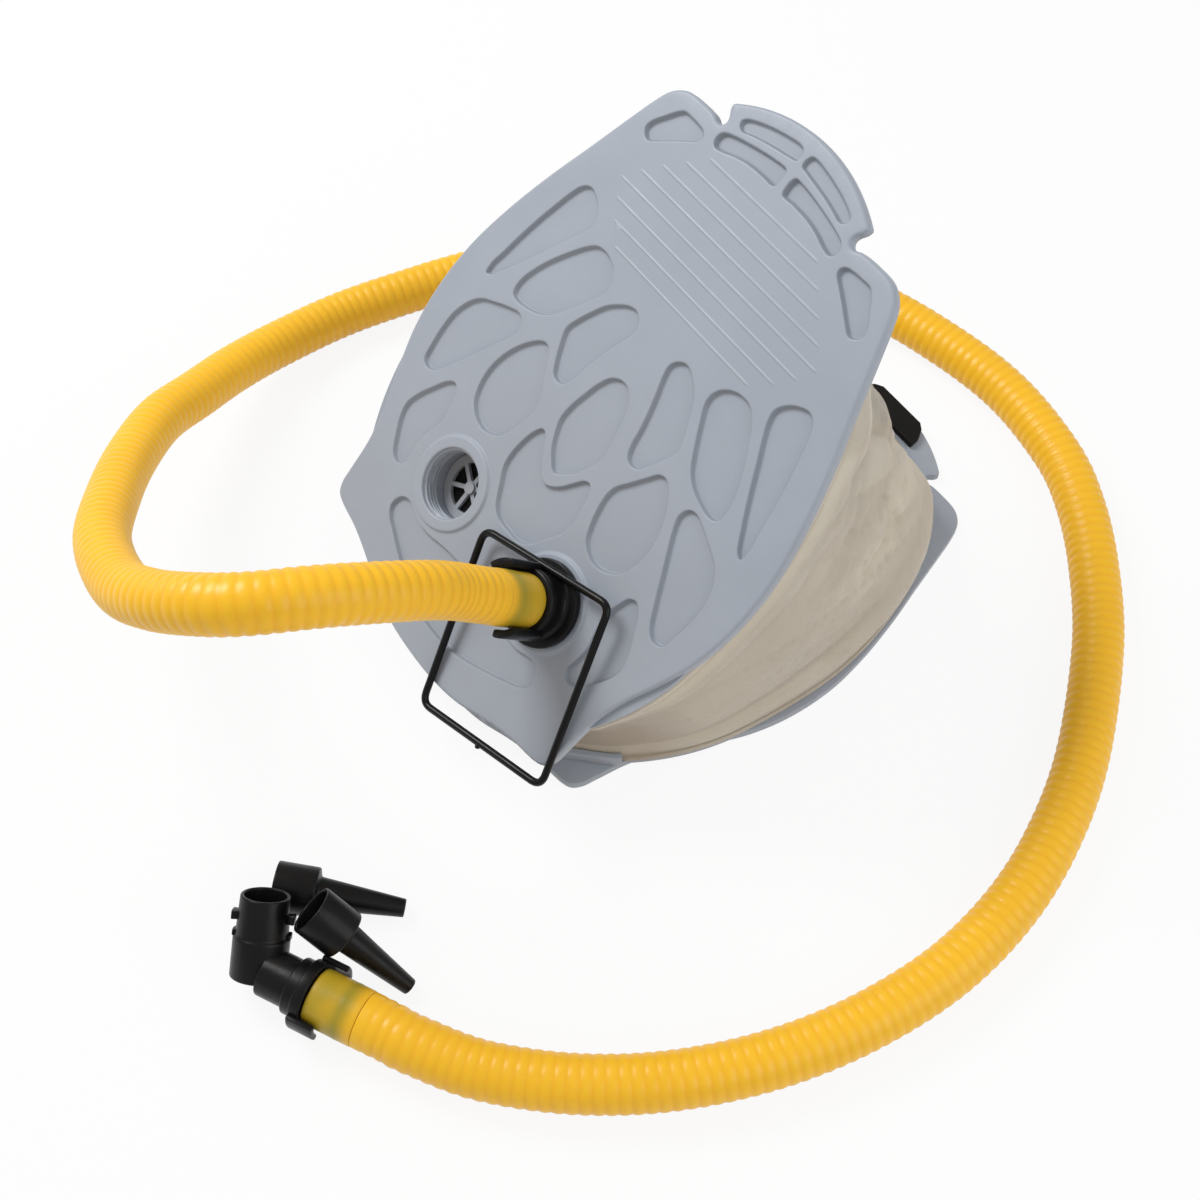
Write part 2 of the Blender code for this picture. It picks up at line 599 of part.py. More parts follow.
def screw_places():
    """Where the screws go through a clamp, both sides."""
    half = bellows_half()
    inset = offset(mirrored(half), SKIN + GAP + CLAMP_WIDTH / 2)[:len(half)]
    run = [p for p, q in zip(inset, half) if q[0] > WALL_END_U]
    steps = np.cumsum([0.0] + [math.dist(a, b) for a, b in zip(run, run[1:])])
    out = []
    for share in SCREW_AT:
        at = 2 * share * steps[-1]
        u = float(np.interp(at, steps, [p[0] for p in run]))
        v = float(np.interp(at, steps, [p[1] for p in run]))
        out += [(u, v), (u, -v)]
    return out


def bottom_plate_mesh():
    mesh = plate_shell(-1)
    holes = []
    for u, v in screw_places():
        head = disc(SCREW_HEAD_RADIUS + GAP, -PLATE_HALF_THICKNESS - EPS,
                    -PLATE_HALF_THICKNESS + SCREW_HEAD + 2 * GAP, 8)
        shank = disc(SCREW_RADIUS + GAP, -PLATE_HALF_THICKNESS, -PLATE_HALF_THICKNESS + PANEL + EPS, 8)
        holes += [moved(fuse(head, shank), Matrix.Translation((u, v, 0)))]
    return cut(mesh, joined(holes))


def port_parts(v):
    """What a port adds to the lid and what it cuts out of it, both round its own axis."""
    place = Matrix.Translation((PORT_U, v, 0))
    top = PLATE_HALF_THICKNESS + PORT_RING_HEIGHT
    boss = disc(PORT_BOSS_RADIUS, PORT_BOTTOM_W, PLATE_HALF_THICKNESS - PANEL + EPS)
    ring = disc(PORT_RING_RADIUS, PLATE_HALF_THICKNESS - PANEL + EPS, top)
    bore = turned([(0, PORT_BOTTOM_W - EPS), (LEDGE_RADIUS, PORT_BOTTOM_W - EPS),
                   (LEDGE_RADIUS, LEDGE_TOP_W), (PORT_RADIUS, LEDGE_TOP_W),
                   (PORT_RADIUS, GROOVE_W[0]), (GROOVE_RADIUS, GROOVE_W[0]),
                   (GROOVE_RADIUS, GROOVE_W[1]), (PORT_RADIUS, GROOVE_W[1]),
                   (PORT_RADIUS, top + EPS), (0, top + EPS)], 32)
    entries = block((-GROOVE_RADIUS, GROOVE_RADIUS), (-ENTRY_WIDTH / 2, ENTRY_WIDTH / 2),
                    (GROOVE_W[0] + EPS, top + EPS))
    entries = moved(entries, Matrix.Rotation(WING_ANGLE + math.radians(90), 4, "Z"))
    bore = fuse(bore, entries)
    return moved(fuse(boss, ring), place), moved(bore, place)


def top_plate_mesh():
    outer_slots, inner_slots = tab_slots()
    cutters = [lift(o, POCKET_DEPTH, 1) for o in side_pockets() + middle_pockets()]
    cutters += [lift(o, SLOT_DEPTH, 1) for o in outer_slots]
    cutters += [lift(o, GRIP_DEPTH, 1) for o in inner_slots + [EAR_POCKET, flipped(EAR_POCKET)]]
    for u, v in screw_places():
        hole = disc(SCREW_RADIUS + GAP, PLATE_HALF_THICKNESS - PANEL - EPS,
                    PLATE_HALF_THICKNESS - PANEL + LID_SCREW_BITE, 8)
        cutters.append(moved(hole, Matrix.Translation((u, v, 0))))
    mesh = cut(plate_shell(1), joined(cutters))
    for v in (PORT_V, -PORT_V):
        added, removed = port_parts(v)
        mesh = cut(fuse(mesh, added), removed)
    ribs = []
    for k, half in enumerate(RIB_HALF_LENGTHS):
        u = RIB_FIRST_U + k * RIB_PITCH
        ribs.append(block((u - RIB_WIDTH / 2, u + RIB_WIDTH / 2), (-half, half),
                          (PLATE_HALF_THICKNESS - EPS, PLATE_HALF_THICKNESS + RIB_HEIGHT)))
    return fuse(mesh, joined(ribs))


def clamp_mesh(sign):
    """The frame that holds the fabric in a plate, open at the hinge end."""
    half = bellows_half()
    line = mirrored(half)
    outer = offset(line, SKIN + 2 * GAP)
    inner = offset(line, SKIN + 2 * GAP + CLAMP_WIDTH)
    keep = [i for i, (u, v) in enumerate(line) if u > WALL_END_U]
    outline = [outer[i] for i in keep] + [inner[i] for i in reversed(keep)]
    face = PLATE_HALF_THICKNESS - PANEL - GAP
    low, high = sorted((sign * face, sign * (face - CLAMP_HEIGHT)))
    mesh = prism(outline, low, high)
    holes = []
    for u, v in screw_places():
        hole = disc(SCREW_RADIUS + GAP, low - EPS, high + EPS, 8)
        holes.append(moved(hole, Matrix.Translation((u, v, 0))))
    return cut(mesh, joined(holes))


def screw_mesh(length):
    """Head down at height 0, shank up."""
    return turned([(0, -SCREW_HEAD), (SCREW_HEAD_RADIUS, -SCREW_HEAD), (SCREW_HEAD_RADIUS, 0),
                   (SCREW_RADIUS, 0), (SCREW_RADIUS, length), (0, length)], 8)


def bumper_outline():
    start, end = BUMPER_U
    half = [(end, 0.0155), (end - 0.0025, 0.0195), (end - 0.0075, 0.0230), (start, 0.0245)]
    return [(u, -v) for u, v in reversed(half)] + half


# ---------------------------------------------------------------- bellows and spring
def swung(u, w, angle):
    """Plate coordinates turned about the hinge pin, from the middle of the underside."""
    x = HINGE_X + u * math.cos(angle) - w * math.sin(angle)
    z = PLATE_HALF_THICKNESS + u * math.sin(angle) + w * math.cos(angle)
    return x, z


def row_w(place):
    """Height of a row: -1 and 2 are its hidden edges, 0 to 1 runs between the edge strips."""
    if place < 0:
        return -SKIN_SEAT_W
    if place > 1:
        return SKIN_SEAT_W
    return SKIN_BEAD_W * (2 * place - 1)


def lobe(place, low, high):
    """Rises from 0 at low to 1 midway and falls to 0 at high."""
    share = (place - low) / (high - low)
    return math.sin(math.pi * share) if 0 < share < 1 else 0.0


def ease(value):
    t = min(1.0, max(0.0, value))
    return t * t * (3 - 2 * t)


def stand_out(place, u, v):
    """How far the fabric stands out from a straight line between the plates, in plate coordinates."""
    tip = ease((FOLD_HALF_WIDTH + 0.032 * place - abs(v)) / 0.045) * ease((u - 0.18) / 0.03)
    corner = ease((abs(v) - 0.030) / 0.035) * ease((u - 0.14) / 0.06)
    out = PLEAT * (lobe(place, 0.0, LOW_CREASE) + lobe(place, HIGH_CREASE, 1.0) * (1 - tip))
    out += BELLY * lobe(place, LOW_CREASE, HIGH_CREASE) * (1 - tip)
    out += CORNER_BULGE * corner * math.exp(-((place - 0.16) / 0.11) ** 2) * min(1.0, place / 0.06)
    return out - FOLD_DEPTH * tip * lobe(place ** 0.85, 0.0, 1.0)


def fabric_ring(line, place, inset):
    """A row of the fabric at a place between the plates, 0 at the lower edge and 1 at the upper."""
    share = min(1.0, max(0.0, place))
    free = [min(1.0, max(0.0, (u - WALL_END_U - WALL_CLEAR_RUN) / FREE_RUN)) for u, v in line]
    out = [stand_out(share, u, v) * f for (u, v), f in zip(line, free)]
    flat = offset(line, inset)
    ring = []
    for level, spread, f, reach in zip(flat, offset(line, inset - 0.01), free, out):
        u, v = Vector(level).lerp(Vector(spread), reach / 0.01)
        x, z = swung(u, row_w(place), share * OPEN_ANGLE)
        low = Vector(swung(u, row_w(place), 0.0))
        high = Vector(swung(u, row_w(place), OPEN_ANGLE))
        x, z = Vector((x, z)).lerp(low.lerp(high, share), f)
        ring.append((x, v, z))
    return ring


def bellows_mesh():
    """The fabric tube between the plates, open at both ends."""
    line = mirrored(bellows_half())
    bm = bmesh.new()
    shells = []
    for inset in (0.0, SKIN):
        shells.append([[bm.verts.new(p) for p in fabric_ring(line, place, inset)]
                       for place in BELLOWS_PLACES])
    count = len(line)
    for rows, flip in zip(shells, (False, True)):
        for low, high in zip(rows, rows[1:]):
            for i in range(count):
                j = (i + 1) % count
                face = (low[i], low[j], high[j], high[i])
                bm.faces.new(tuple(reversed(face)) if flip else face)
    for row in (0, -1):
        outer, inner = shells[0][row], shells[1][row]
        for i in range(count):
            j = (i + 1) % count
            bm.faces.new((outer[i], outer[j], inner[j], inner[i]))
    return mesh_of(bm, "bellows")


def spring_points():
    per_turn = 10
    reach = PLATE_HALF_THICKNESS - PANEL - 2 * GAP - SPRING_SEAT_THICKNESS - SPRING_WIRE / 2
    out = []
    for k in range(SPRING_TURNS * per_turn + 1):
        share = k / (SPRING_TURNS * per_turn)
        turn = 2 * math.pi * k / per_turn
        u = SPRING_U + SPRING_RADIUS * math.cos(turn)
        w = reach * (2 * share - 1)
        x, z = swung(u, w, share * OPEN_ANGLE)
        out.append((x, SPRING_RADIUS * math.sin(turn), z))
    return out


def spring_seat_mesh():
    return turned([(0, 0), (SPRING_SEAT_RADIUS, 0), (SPRING_SEAT_RADIUS, SPRING_SEAT_THICKNESS),
                   (SPRING_BOSS_RADIUS, SPRING_SEAT_THICKNESS),
                   (SPRING_BOSS_RADIUS - 0.002, SPRING_SEAT_THICKNESS + SPRING_BOSS_HEIGHT),
                   (0, SPRING_SEAT_THICKNESS + SPRING_BOSS_HEIGHT)], 28)


# ---------------------------------------------------------------- valves and connector
def seat_mesh():
    """A valve seat: rim, hub and spokes."""
    low = LEDGE_TOP_W + GAP
    high = low + SEAT_THICKNESS
    mesh = disc(PORT_RADIUS - GAP, low, high)
    window = turned([(SEAT_HUB_RADIUS, low - EPS), (SEAT_RIM_RADIUS, low - EPS),
                     (SEAT_RIM_RADIUS, high + EPS), (SEAT_HUB_RADIUS, high + EPS)], 24)
    for k in range(SEAT_SPOKES // 2):
        spoke = block((-0.02, 0.02), (-SPOKE_WIDTH / 2, SPOKE_WIDTH / 2), (low - 2 * EPS, high + 2 * EPS))
        window = cut(window, moved(spoke, Matrix.Rotation(math.pi * k * 2 / SEAT_SPOKES, 4, "Z")))
    mesh = cut(mesh, window)
    return cut(mesh, disc(STUD_RADIUS + GAP, low - EPS, high + EPS, 12))


def flap_mesh(low):
    return turned([(STUD_RADIUS + GAP, low), (FLAP_RADIUS, low), (FLAP_RADIUS, low + FLAP_THICKNESS),
                   (STUD_RADIUS + GAP, low + FLAP_THICKNESS)], 28)


def stud_mesh(low, high):
    """A headed stud; low and high are the inner faces of its heads."""
    return turned([(0, low - STUD_HEAD), (STUD_HEAD_RADIUS, low - STUD_HEAD), (STUD_HEAD_RADIUS, low),
                   (STUD_RADIUS, low), (STUD_RADIUS, high), (STUD_HEAD_RADIUS, high),
                   (STUD_HEAD_RADIUS, high + STUD_HEAD), (0, high + STUD_HEAD)], 14)


def sector(inner, outer, half_angle, low, high, turn):
    """A block between two radii and two angles."""
    steps = 3
    arc = [turn - half_angle + 2 * half_angle * k / steps for k in range(steps + 1)]
    outline = [(outer * math.cos(a), outer * math.sin(a)) for a in arc]
    outline += [(inner * math.cos(a), inner * math.sin(a)) for a in reversed(arc)]
    return prism(outline, low, high)


def connector_mesh():
    """The bayonet end: neck, flange, collar, spigot in the cuff and two finger wings."""
    flange_low = PLATE_HALF_THICKNESS + PORT_RING_HEIGHT + GAP
    neck = PORT_RADIUS - 2 * GAP
    groove = 0.0012
    spigot = HOSE_BORE_DIAMETER / 2 - GAP
    seal_low, seal_high = seal_heights()
    body = turned([(CONNECTOR_BORE, NECK_BOTTOM_W), (neck - 0.0008, NECK_BOTTOM_W),
                   (neck, NECK_BOTTOM_W + 0.0008), (neck, seal_low), (neck - groove, seal_low),
                   (neck - groove, seal_high), (neck, seal_high), (neck, flange_low),
                   (FLANGE_RADIUS, flange_low), (FLANGE_RADIUS, flange_low + FLANGE_HEIGHT - 0.001),
                   (FLANGE_RADIUS - 0.001, flange_low + FLANGE_HEIGHT),
                   (COLLAR_RADIUS, flange_low + FLANGE_HEIGHT), (COLLAR_RADIUS, COLLAR_TOP_W - 0.001),
                   (COLLAR_RADIUS - 0.001, COLLAR_TOP_W), (spigot, COLLAR_TOP_W),
                   (spigot, COLLAR_TOP_W + SPIGOT_LENGTH),
                   (CONNECTOR_BORE, COLLAR_TOP_W + SPIGOT_LENGTH)], 28)
    for turn in (WING_ANGLE, WING_ANGLE + math.pi):
        wing = sector(WING_RADIUS[0] - 0.0002, WING_RADIUS[1], WING_WIDTH / 2 / WING_RADIUS[0],
                      WING_W[0], WING_W[1], turn)
        root = sector(COLLAR_RADIUS - 0.001, WING_RADIUS[1] - 0.0005,
                      WING_WIDTH / 2.4 / WING_RADIUS[0], WING_W[0] + 0.0002, COLLAR_TOP_W - 0.0015, turn)
        lug = sector(neck - 0.001, GROOVE_RADIUS - GAP, LUG_HALF_ANGLE, GROOVE_W[0] + 2 * GAP,
                     GROOVE_W[1] - 2 * GAP, turn)
        body = fuse(body, root, wing, lug)
    return body


def seal_heights():
    top = PLATE_HALF_THICKNESS + PORT_RING_HEIGHT
    return top - 0.0036, top - 0.0016


def seal_mesh():
    neck = PORT_RADIUS - 2 * GAP
    low, high = seal_heights()
    inner = neck - 0.0012 + 0.0002
    low, high = low + 0.0002, high - 0.0002
    middle = (low + high) / 2
    return turned([(inner, low), (neck - 0.0001, low), (neck + 0.0002, middle),
                   (neck - 0.0001, high), (inner, high)], 28)


def cuff_mesh():
    outer = CUFF_DIAMETER / 2
    inner = HOSE_BORE_DIAMETER / 2
    return turned([(inner, GAP), (outer, GAP), (outer, CUFF_LENGTH * 0.75),
                   (HOSE_DIAMETER / 2, CUFF_LENGTH - GAP), (inner, CUFF_LENGTH - GAP)], 20)


# ---------------------------------------------------------------- hose and what is on it
def hose_start():
    """Where the hose leaves its cuff at the pump, and the way it points there."""
    height = COLLAR_TOP_W + CUFF_LENGTH
    x, z = swung(PORT_U, height, OPEN_ANGLE)
    return Vector((x, -PORT_V, z)), Vector((-math.sin(OPEN_ANGLE), 0, math.cos(OPEN_ANGLE)))


def hose_path():
    """Close points on the smooth curve through the route, straight at both ends."""
    start, out = hose_start()
    end, way = hose_end()
    first = [start + out * HOSE_DIAMETER * k / 2 for k in range(3)]
    last = [end - way * HOSE_DIAMETER * k / 2 for k in (2, 1, 0)]
    dense = np.array(smooth(first + list(HOSE_ROUTE) + last, 24))
    run = np.concatenate([[0.0], np.cumsum(np.linalg.norm(np.diff(dense, axis=0), axis=1))])
    return dense, run


def points_at(dense, run, distances):
    return [tuple(np.interp(s, run, dense[:, k]) for k in range(3)) for s in distances]


def hose_mesh():
    """The ribbed hose: two points of unlike radius to each rib, and its bore."""
    dense, run = hose_path()
    length = run[-1]
    pitch = length / HOSE_RIBS
    distances = [0.0]
    radii = [HOSE_VALLEY_DIAMETER / 2]
    for k in range(HOSE_RIBS):
        middle = (k + 0.5) * pitch
        distances += [middle - pitch * 0.22, middle + pitch * 0.22]
        radii += [HOSE_DIAMETER / 2, HOSE_VALLEY_DIAMETER / 2]
    distances.append(length)
    radii.append(HOSE_DIAMETER / 2)
    outer = tube(points_at(dense, run, distances), radii, 2, "outer")
    bore_points = 60
    inside = [length * k / bore_points for k in range(bore_points + 1)]
    places = points_at(dense, run, inside)
    first = Vector(places[0]) + (Vector(places[0]) - Vector(places[1])).normalized() * 0.002
    last = Vector(places[-1]) + (Vector(places[-1]) - Vector(places[-2])).normalized() * 0.002
    places = [tuple(first)] + places + [tuple(last)]
    bore = tube(places, [HOSE_BORE_DIAMETER / 2] * len(places), 1, "bore")
    ribs = np.array(points_at(dense, run, distances))
    gap = np.diff(distances)[1:-1].min()
    print("hose length", round(float(length), 4), "rib pitch", round(float(pitch), 5),
          "least rib step", round(float(gap), 5), "clearance to itself",
          round(least_gap(ribs, HOSE_DIAMETER), 4))
    return cut(outer, bore)


def least_gap(points, diameter):
    """The least distance between far-apart stretches of one tube, less its diameter."""
    best = 1.0
    apart = max(3, int(3 * diameter / np.linalg.norm(points[1] - points[0])))
    for i in range(0, len(points) - apart):
        far = points[i + apart:]
        best = min(best, float(np.linalg.norm(far - points[i], axis=1).min()))
    return best - diameter


def hose_end():
    """Where the far cuff starts, and the way the hose points there."""
    return Vector(HOSE_END), Vector(HOSE_END_WAY).normalized()


def elbow_mesh():
    """The far end: a stepped arm on the cuff and an open tube that stands up from it."""
    end, way = hose_end()
    start = end + way * (CUFF_LENGTH + GAP)
    side = Vector((-way.y, way.x, 0))
    foot = Vector(ELBOW_FOOT)
    axis = Vector(ELBOW_AXIS).normalized()
    run = 0.0
    profile = [(0, 0)]
    for radius, length in (ELBOW_COLLAR, ELBOW_STEP, ELBOW_ARM):
        profile += [(radius, run), (radius, run + length)]
        run += length
    arm = turned(profile + [(0, run)], 24)
    spigot = disc(HOSE_BORE_DIAMETER / 2 - GAP, -SPIGOT_LENGTH, 0.002, 20)
    arm = fuse(arm, spigot)
    placed = along(start, way)
    lateral = placed.to_3x3().transposed() @ side
    turn = math.atan2(lateral.y, lateral.x)
    low, high = ELBOW_WING_RUN
    for angle in (turn, turn + math.pi):
        inner, outer = ELBOW_WING_RADIUS
        wing = sector(inner, outer, WING_WIDTH / 2 / inner, low, high, angle)
        arm = fuse(arm, wing)
    top = ELBOW_CUP_LENGTH + ELBOW_NECK_LENGTH
    wide, narrow = ELBOW_NECK_RADIUS
    cup = turned([(0, 0), (ELBOW_CUP_RADIUS - 0.001, 0), (ELBOW_CUP_RADIUS, 0.001),
                  (ELBOW_CUP_RADIUS, ELBOW_CUP_LENGTH), (wide, ELBOW_CUP_LENGTH + 0.0005),
                  (narrow, top), (0, top)], 28)
    stood = along(foot, axis)
    seen = stood.to_3x3().transposed() @ Vector((-0.828, 0.560, 0))
    turn = math.atan2(seen.y, seen.x)
    for low, high, proud in ELBOW_LUGS:
        for angle in (turn, turn + math.pi):
            lug = sector(narrow - 0.001, wide + proud, math.radians(13), top - high, top - low, angle)
            cup = fuse(cup, lug)
    mesh = fuse(moved(arm, placed), moved(cup, stood))
    throat = moved(disc(ELBOW_BORE, 0.004, top + EPS, 20), stood)
    passage = moved(disc(CONNECTOR_BORE, -SPIGOT_LENGTH - EPS, run - 0.003, 20), placed)
    return cut(mesh, fuse(throat, passage))


def nozzle_mesh(length, base_radius, mouth_radius, tip_radius):
    """A short socket and a long taper, bored through, from the socket's mouth along +Z."""
    neck = mouth_radius
    wall = 0.0016
    end = length
    base = NOZZLE_BASE_LENGTH
    return turned([(base_radius - wall, 0), (base_radius, 0), (base_radius, base), (neck, base + 0.0012),
                   (tip_radius + 0.0003, end - 0.0015), (tip_radius - 0.0004, end),
                   (tip_radius - wall, end), (neck - wall - 0.0006, base + 0.003),
                   (base_radius - wall, base - 0.003)], 18)


def bail_points():
    """The wire's centreline in the bail's own frame: X along the top bar, Y towards the foot bar."""
    loop = rounded(BAIL_CORNERS, BAIL_CORNER, 4)
    return [(x, y, 0.0) for x, y in loop]


def bail_mesh():
    """A closed loop of wire."""
    points = [Vector(p) for p in bail_points()]
    count = len(points)
    sides = 8
    bm = bmesh.new()
    rings = []
    for i in range(count):
        way = (points[(i + 1) % count] - points[i - 1]).normalized()
        side = Vector((-way.y, way.x, 0.0))
        ring = []
        for k in range(sides):
            angle = 2 * math.pi * (k + 0.5) / sides
            ring.append(bm.verts.new(points[i] + side * (BAIL_WIRE / 2 * math.cos(angle))
                                     + Vector((0, 0, BAIL_WIRE / 2 * math.sin(angle)))))
        rings.append(ring)
    for i in range(count):
        j = (i + 1) % count
        for k in range(sides):
            n = (k + 1) % sides
            bm.faces.new((rings[i][k], rings[i][n], rings[j][n], rings[j][k]))
    return mesh_of(bm, "bail")


def bail_matrix():
    """The bail hangs from the collar on its top bar and leans on the plate's hinge edge."""
    flange_top = PLATE_HALF_THICKNESS + PORT_RING_HEIGHT + GAP + FLANGE_HEIGHT
    down = Vector((-math.cos(BAIL_TURN), -math.sin(BAIL_TURN), 0))
    bar = Vector((math.sin(BAIL_TURN), -math.cos(BAIL_TURN), 0))
    reach = COLLAR_RADIUS + GAP + BAIL_WIRE / 2
    centre = Vector((PORT_U, -PORT_V, flange_top + GAP + BAIL_WIRE / 2))
    centre = centre - down * reach - bar * BAIL_SIDE_SHIFT
    slope = down * math.cos(BAIL_DROP) - Vector((0, 0, 1)) * math.sin(BAIL_DROP)
    up = bar.cross(slope).normalized()
    turn = Matrix((bar, slope, up)).transposed().to_4x4()
    return Matrix.Translation(centre) @ turn


# ---------------------------------------------------------------- assembly
def empty(name, matrix, parent=None):
    made = bpy.data.objects.new(name, None)
    bpy.context.scene.collection.objects.link(made)
    made.parent = parent
    made.matrix_local = matrix
    return made


def build():
    for obj in list(bpy.data.objects):
        bpy.data.objects.remove(obj)
    plastic = material("plate plastic", BLUE_GREY, 0.45)
    inner_plastic = material("inner plastic", DARK_GREY, 0.5)
    black = material("black plastic", BLACK, 0.35)
    rubber = material("black rubber", BLACK, 0.7)
    fabric = material("coated fabric", BEIGE, 0.6)
    vinyl = material("yellow vinyl", YELLOW, 0.4)
    cuff = material("vinyl over black", OLIVE, 0.35)
    steel = material("steel", STEEL, 0.3, 1.0)
    wire = material("black wire", BLACK, 0.3, 0.6)

    pin = Matrix.Translation((HINGE_X, 0, PLATE_HALF_THICKNESS))
    base = empty("base_frame", pin)
    lid = empty("lid_frame", pin @ Matrix.Rotation(-OPEN_ANGLE, 4, "Y"))

    soften(add("bottom_plate", bottom_plate_mesh(), plastic, base), 30)
    soften(add("top_plate", top_plate_mesh(), plastic, lid), 30)
    for label, frame, sign in (("bottom", base, -1), ("top", lid, 1)):
        soften(add(f"bellows_clamp_{label}", clamp_mesh(sign), inner_plastic, frame))
    add_hinge(base, steel, rubber)
    add_screws(base, lid, steel)
    soften(add("bellows", bellows_mesh(), fabric))
    add_spring(base, lid, steel, inner_plastic)
    add_ports(lid, inner_plastic, rubber, black, cuff, wire)
    seat = RIM_DEPTH + GAP - PLATE_HALF_THICKNESS
    bumper = prism(bumper_outline(), seat, seat + BUMPER_HEIGHT, 0.0010)
    add("tab_bumper", bumper, rubber, base)
    add_hose(vinyl, cuff, black)


def add_hinge(base, steel, rubber):
    pin = across_pin(disc(PIN_RADIUS, -PIN_LENGTH / 2, PIN_LENGTH / 2, 16))
    soften(add("hinge_pin", pin, steel, base))
    depth = 0.0035
    inside = BASE_KNUCKLES[-1][0] + BASE_KNUCKLES[-1][1] / 2 + GAP
    shape = [(0, CAP_LENGTH), (CAP_RADIUS - 0.001, CAP_LENGTH), (CAP_RADIUS, CAP_LENGTH - 0.001),
             (CAP_RADIUS, 0), (PIN_RADIUS + GAP, 0), (PIN_RADIUS + GAP, depth + GAP),
             (0, depth + GAP)]
    for label, side in (("left", 1), ("right", -1)):
        matrix = along((0, side * (PIN_LENGTH / 2 - depth), 0), (0, side, 0))
        assert PIN_LENGTH / 2 - depth >= inside
        soften(add(f"pin_cap_{label}", turned(shape, 20), rubber, base, matrix))


def add_screws(base, lid, steel):
    base_screw = screw_mesh(BASE_SCREW_LENGTH)
    lid_screw = screw_mesh(LID_SCREW_LENGTH)
    head_w = -PLATE_HALF_THICKNESS + GAP + SCREW_HEAD
    clamp_w = PLATE_HALF_THICKNESS - PANEL - 2 * GAP - CLAMP_HEIGHT
    for k, (u, v) in enumerate(screw_places(), 1):
        soften(add(f"base_screw_{k}", base_screw, steel, base, Matrix.Translation((u, v, head_w))))
        soften(add(f"lid_screw_{k}", lid_screw, steel, lid, Matrix.Translation((u, v, clamp_w))))


def add_spring(base, lid, steel, plastic):
    points = spring_points()
    radii = [SPRING_WIRE / 2] * len(points)
    soften(add("return_spring", tube(points, radii, 1, "spring"), steel))
    dense = np.array(points)
    print("spring clearance", round(least_gap(dense, SPRING_WIRE), 4))
    face = PLATE_HALF_THICKNESS - PANEL - GAP
    soften(add("spring_seat_bottom", spring_seat_mesh(), plastic, base,
               Matrix.Translation((SPRING_U, 0, -face))))
    turned_over = Matrix.Rotation(math.pi, 4, "X")
    soften(add("spring_seat_top", spring_seat_mesh(), plastic, lid,
               Matrix.Translation((SPRING_U, 0, face)) @ turned_over))


def add_ports(lid, plastic, rubber, black, cuff, wire):
    seat_low = LEDGE_TOP_W + GAP
    seat_high = seat_low + SEAT_THICKNESS
    free = FLAP_THICKNESS + FLAP_LIFT + 2 * GAP
    inlet = Matrix.Translation((PORT_U, PORT_V, 0))
    outlet = Matrix.Translation((PORT_U, -PORT_V, 0))
    seat = seat_mesh()
    soften(add("inlet_valve_seat", seat, plastic, lid, inlet))
    soften(add("outlet_valve_seat", seat, plastic, lid, outlet))
    flap_low = seat_low - GAP - FLAP_THICKNESS
    soften(add("inlet_flap", flap_mesh(flap_low), rubber, lid, inlet))
    soften(add("inlet_flap_stud", stud_mesh(seat_low - free, seat_high + GAP), plastic, lid, inlet))
    soften(add("outlet_flap", flap_mesh(seat_high + GAP), rubber, lid, outlet))
    soften(add("outlet_flap_stud", stud_mesh(seat_low - GAP, seat_high + free), plastic, lid, outlet))
    soften(add("hose_connector", connector_mesh(), black, lid, outlet))
    soften(add("connector_seal", seal_mesh(), rubber, lid, outlet))
    cuff_at = outlet @ Matrix.Translation((0, 0, COLLAR_TOP_W))
    soften(add("hose_cuff_pump_end", cuff_mesh(), cuff, lid, cuff_at))
    soften(add("lock_bail", bail_mesh(), wire, lid, bail_matrix()))


def add_hose(vinyl, cuff, black):
    soften(add("air_hose", hose_mesh(), vinyl), 60)
    end, way = hose_end()
    far = end + way * CUFF_LENGTH
    soften(add("hose_cuff_far_end", cuff_mesh(), cuff, None, along(far, -way)))
    soften(add("hose_end_elbow", elbow_mesh(), black))
    nozzles = (("taper_nozzle", NOZZLE_FOOT, NOZZLE_TIP, 0.0074, 0.0041),
               ("slim_nozzle", SLIM_NOZZLE_FOOT, SLIM_NOZZLE_TIP, 0.0067, 0.0037))
    for name, foot, tip, mouth, mouth_end in nozzles:
        run = Vector(tip) - Vector(foot)
        mesh = nozzle_mesh(run.length, NOZZLE_BASE_RADIUS, mouth, mouth_end)
        soften(add(name, mesh, black, None, along(foot, run)))


build()
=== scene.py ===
"""Looks of a bellows foot air pump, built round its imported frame."""

import math

import bmesh
import bpy
import numpy as np
from mathutils import Matrix, Vector, noise
from mathutils.geometry import delaunay_2d_cdt


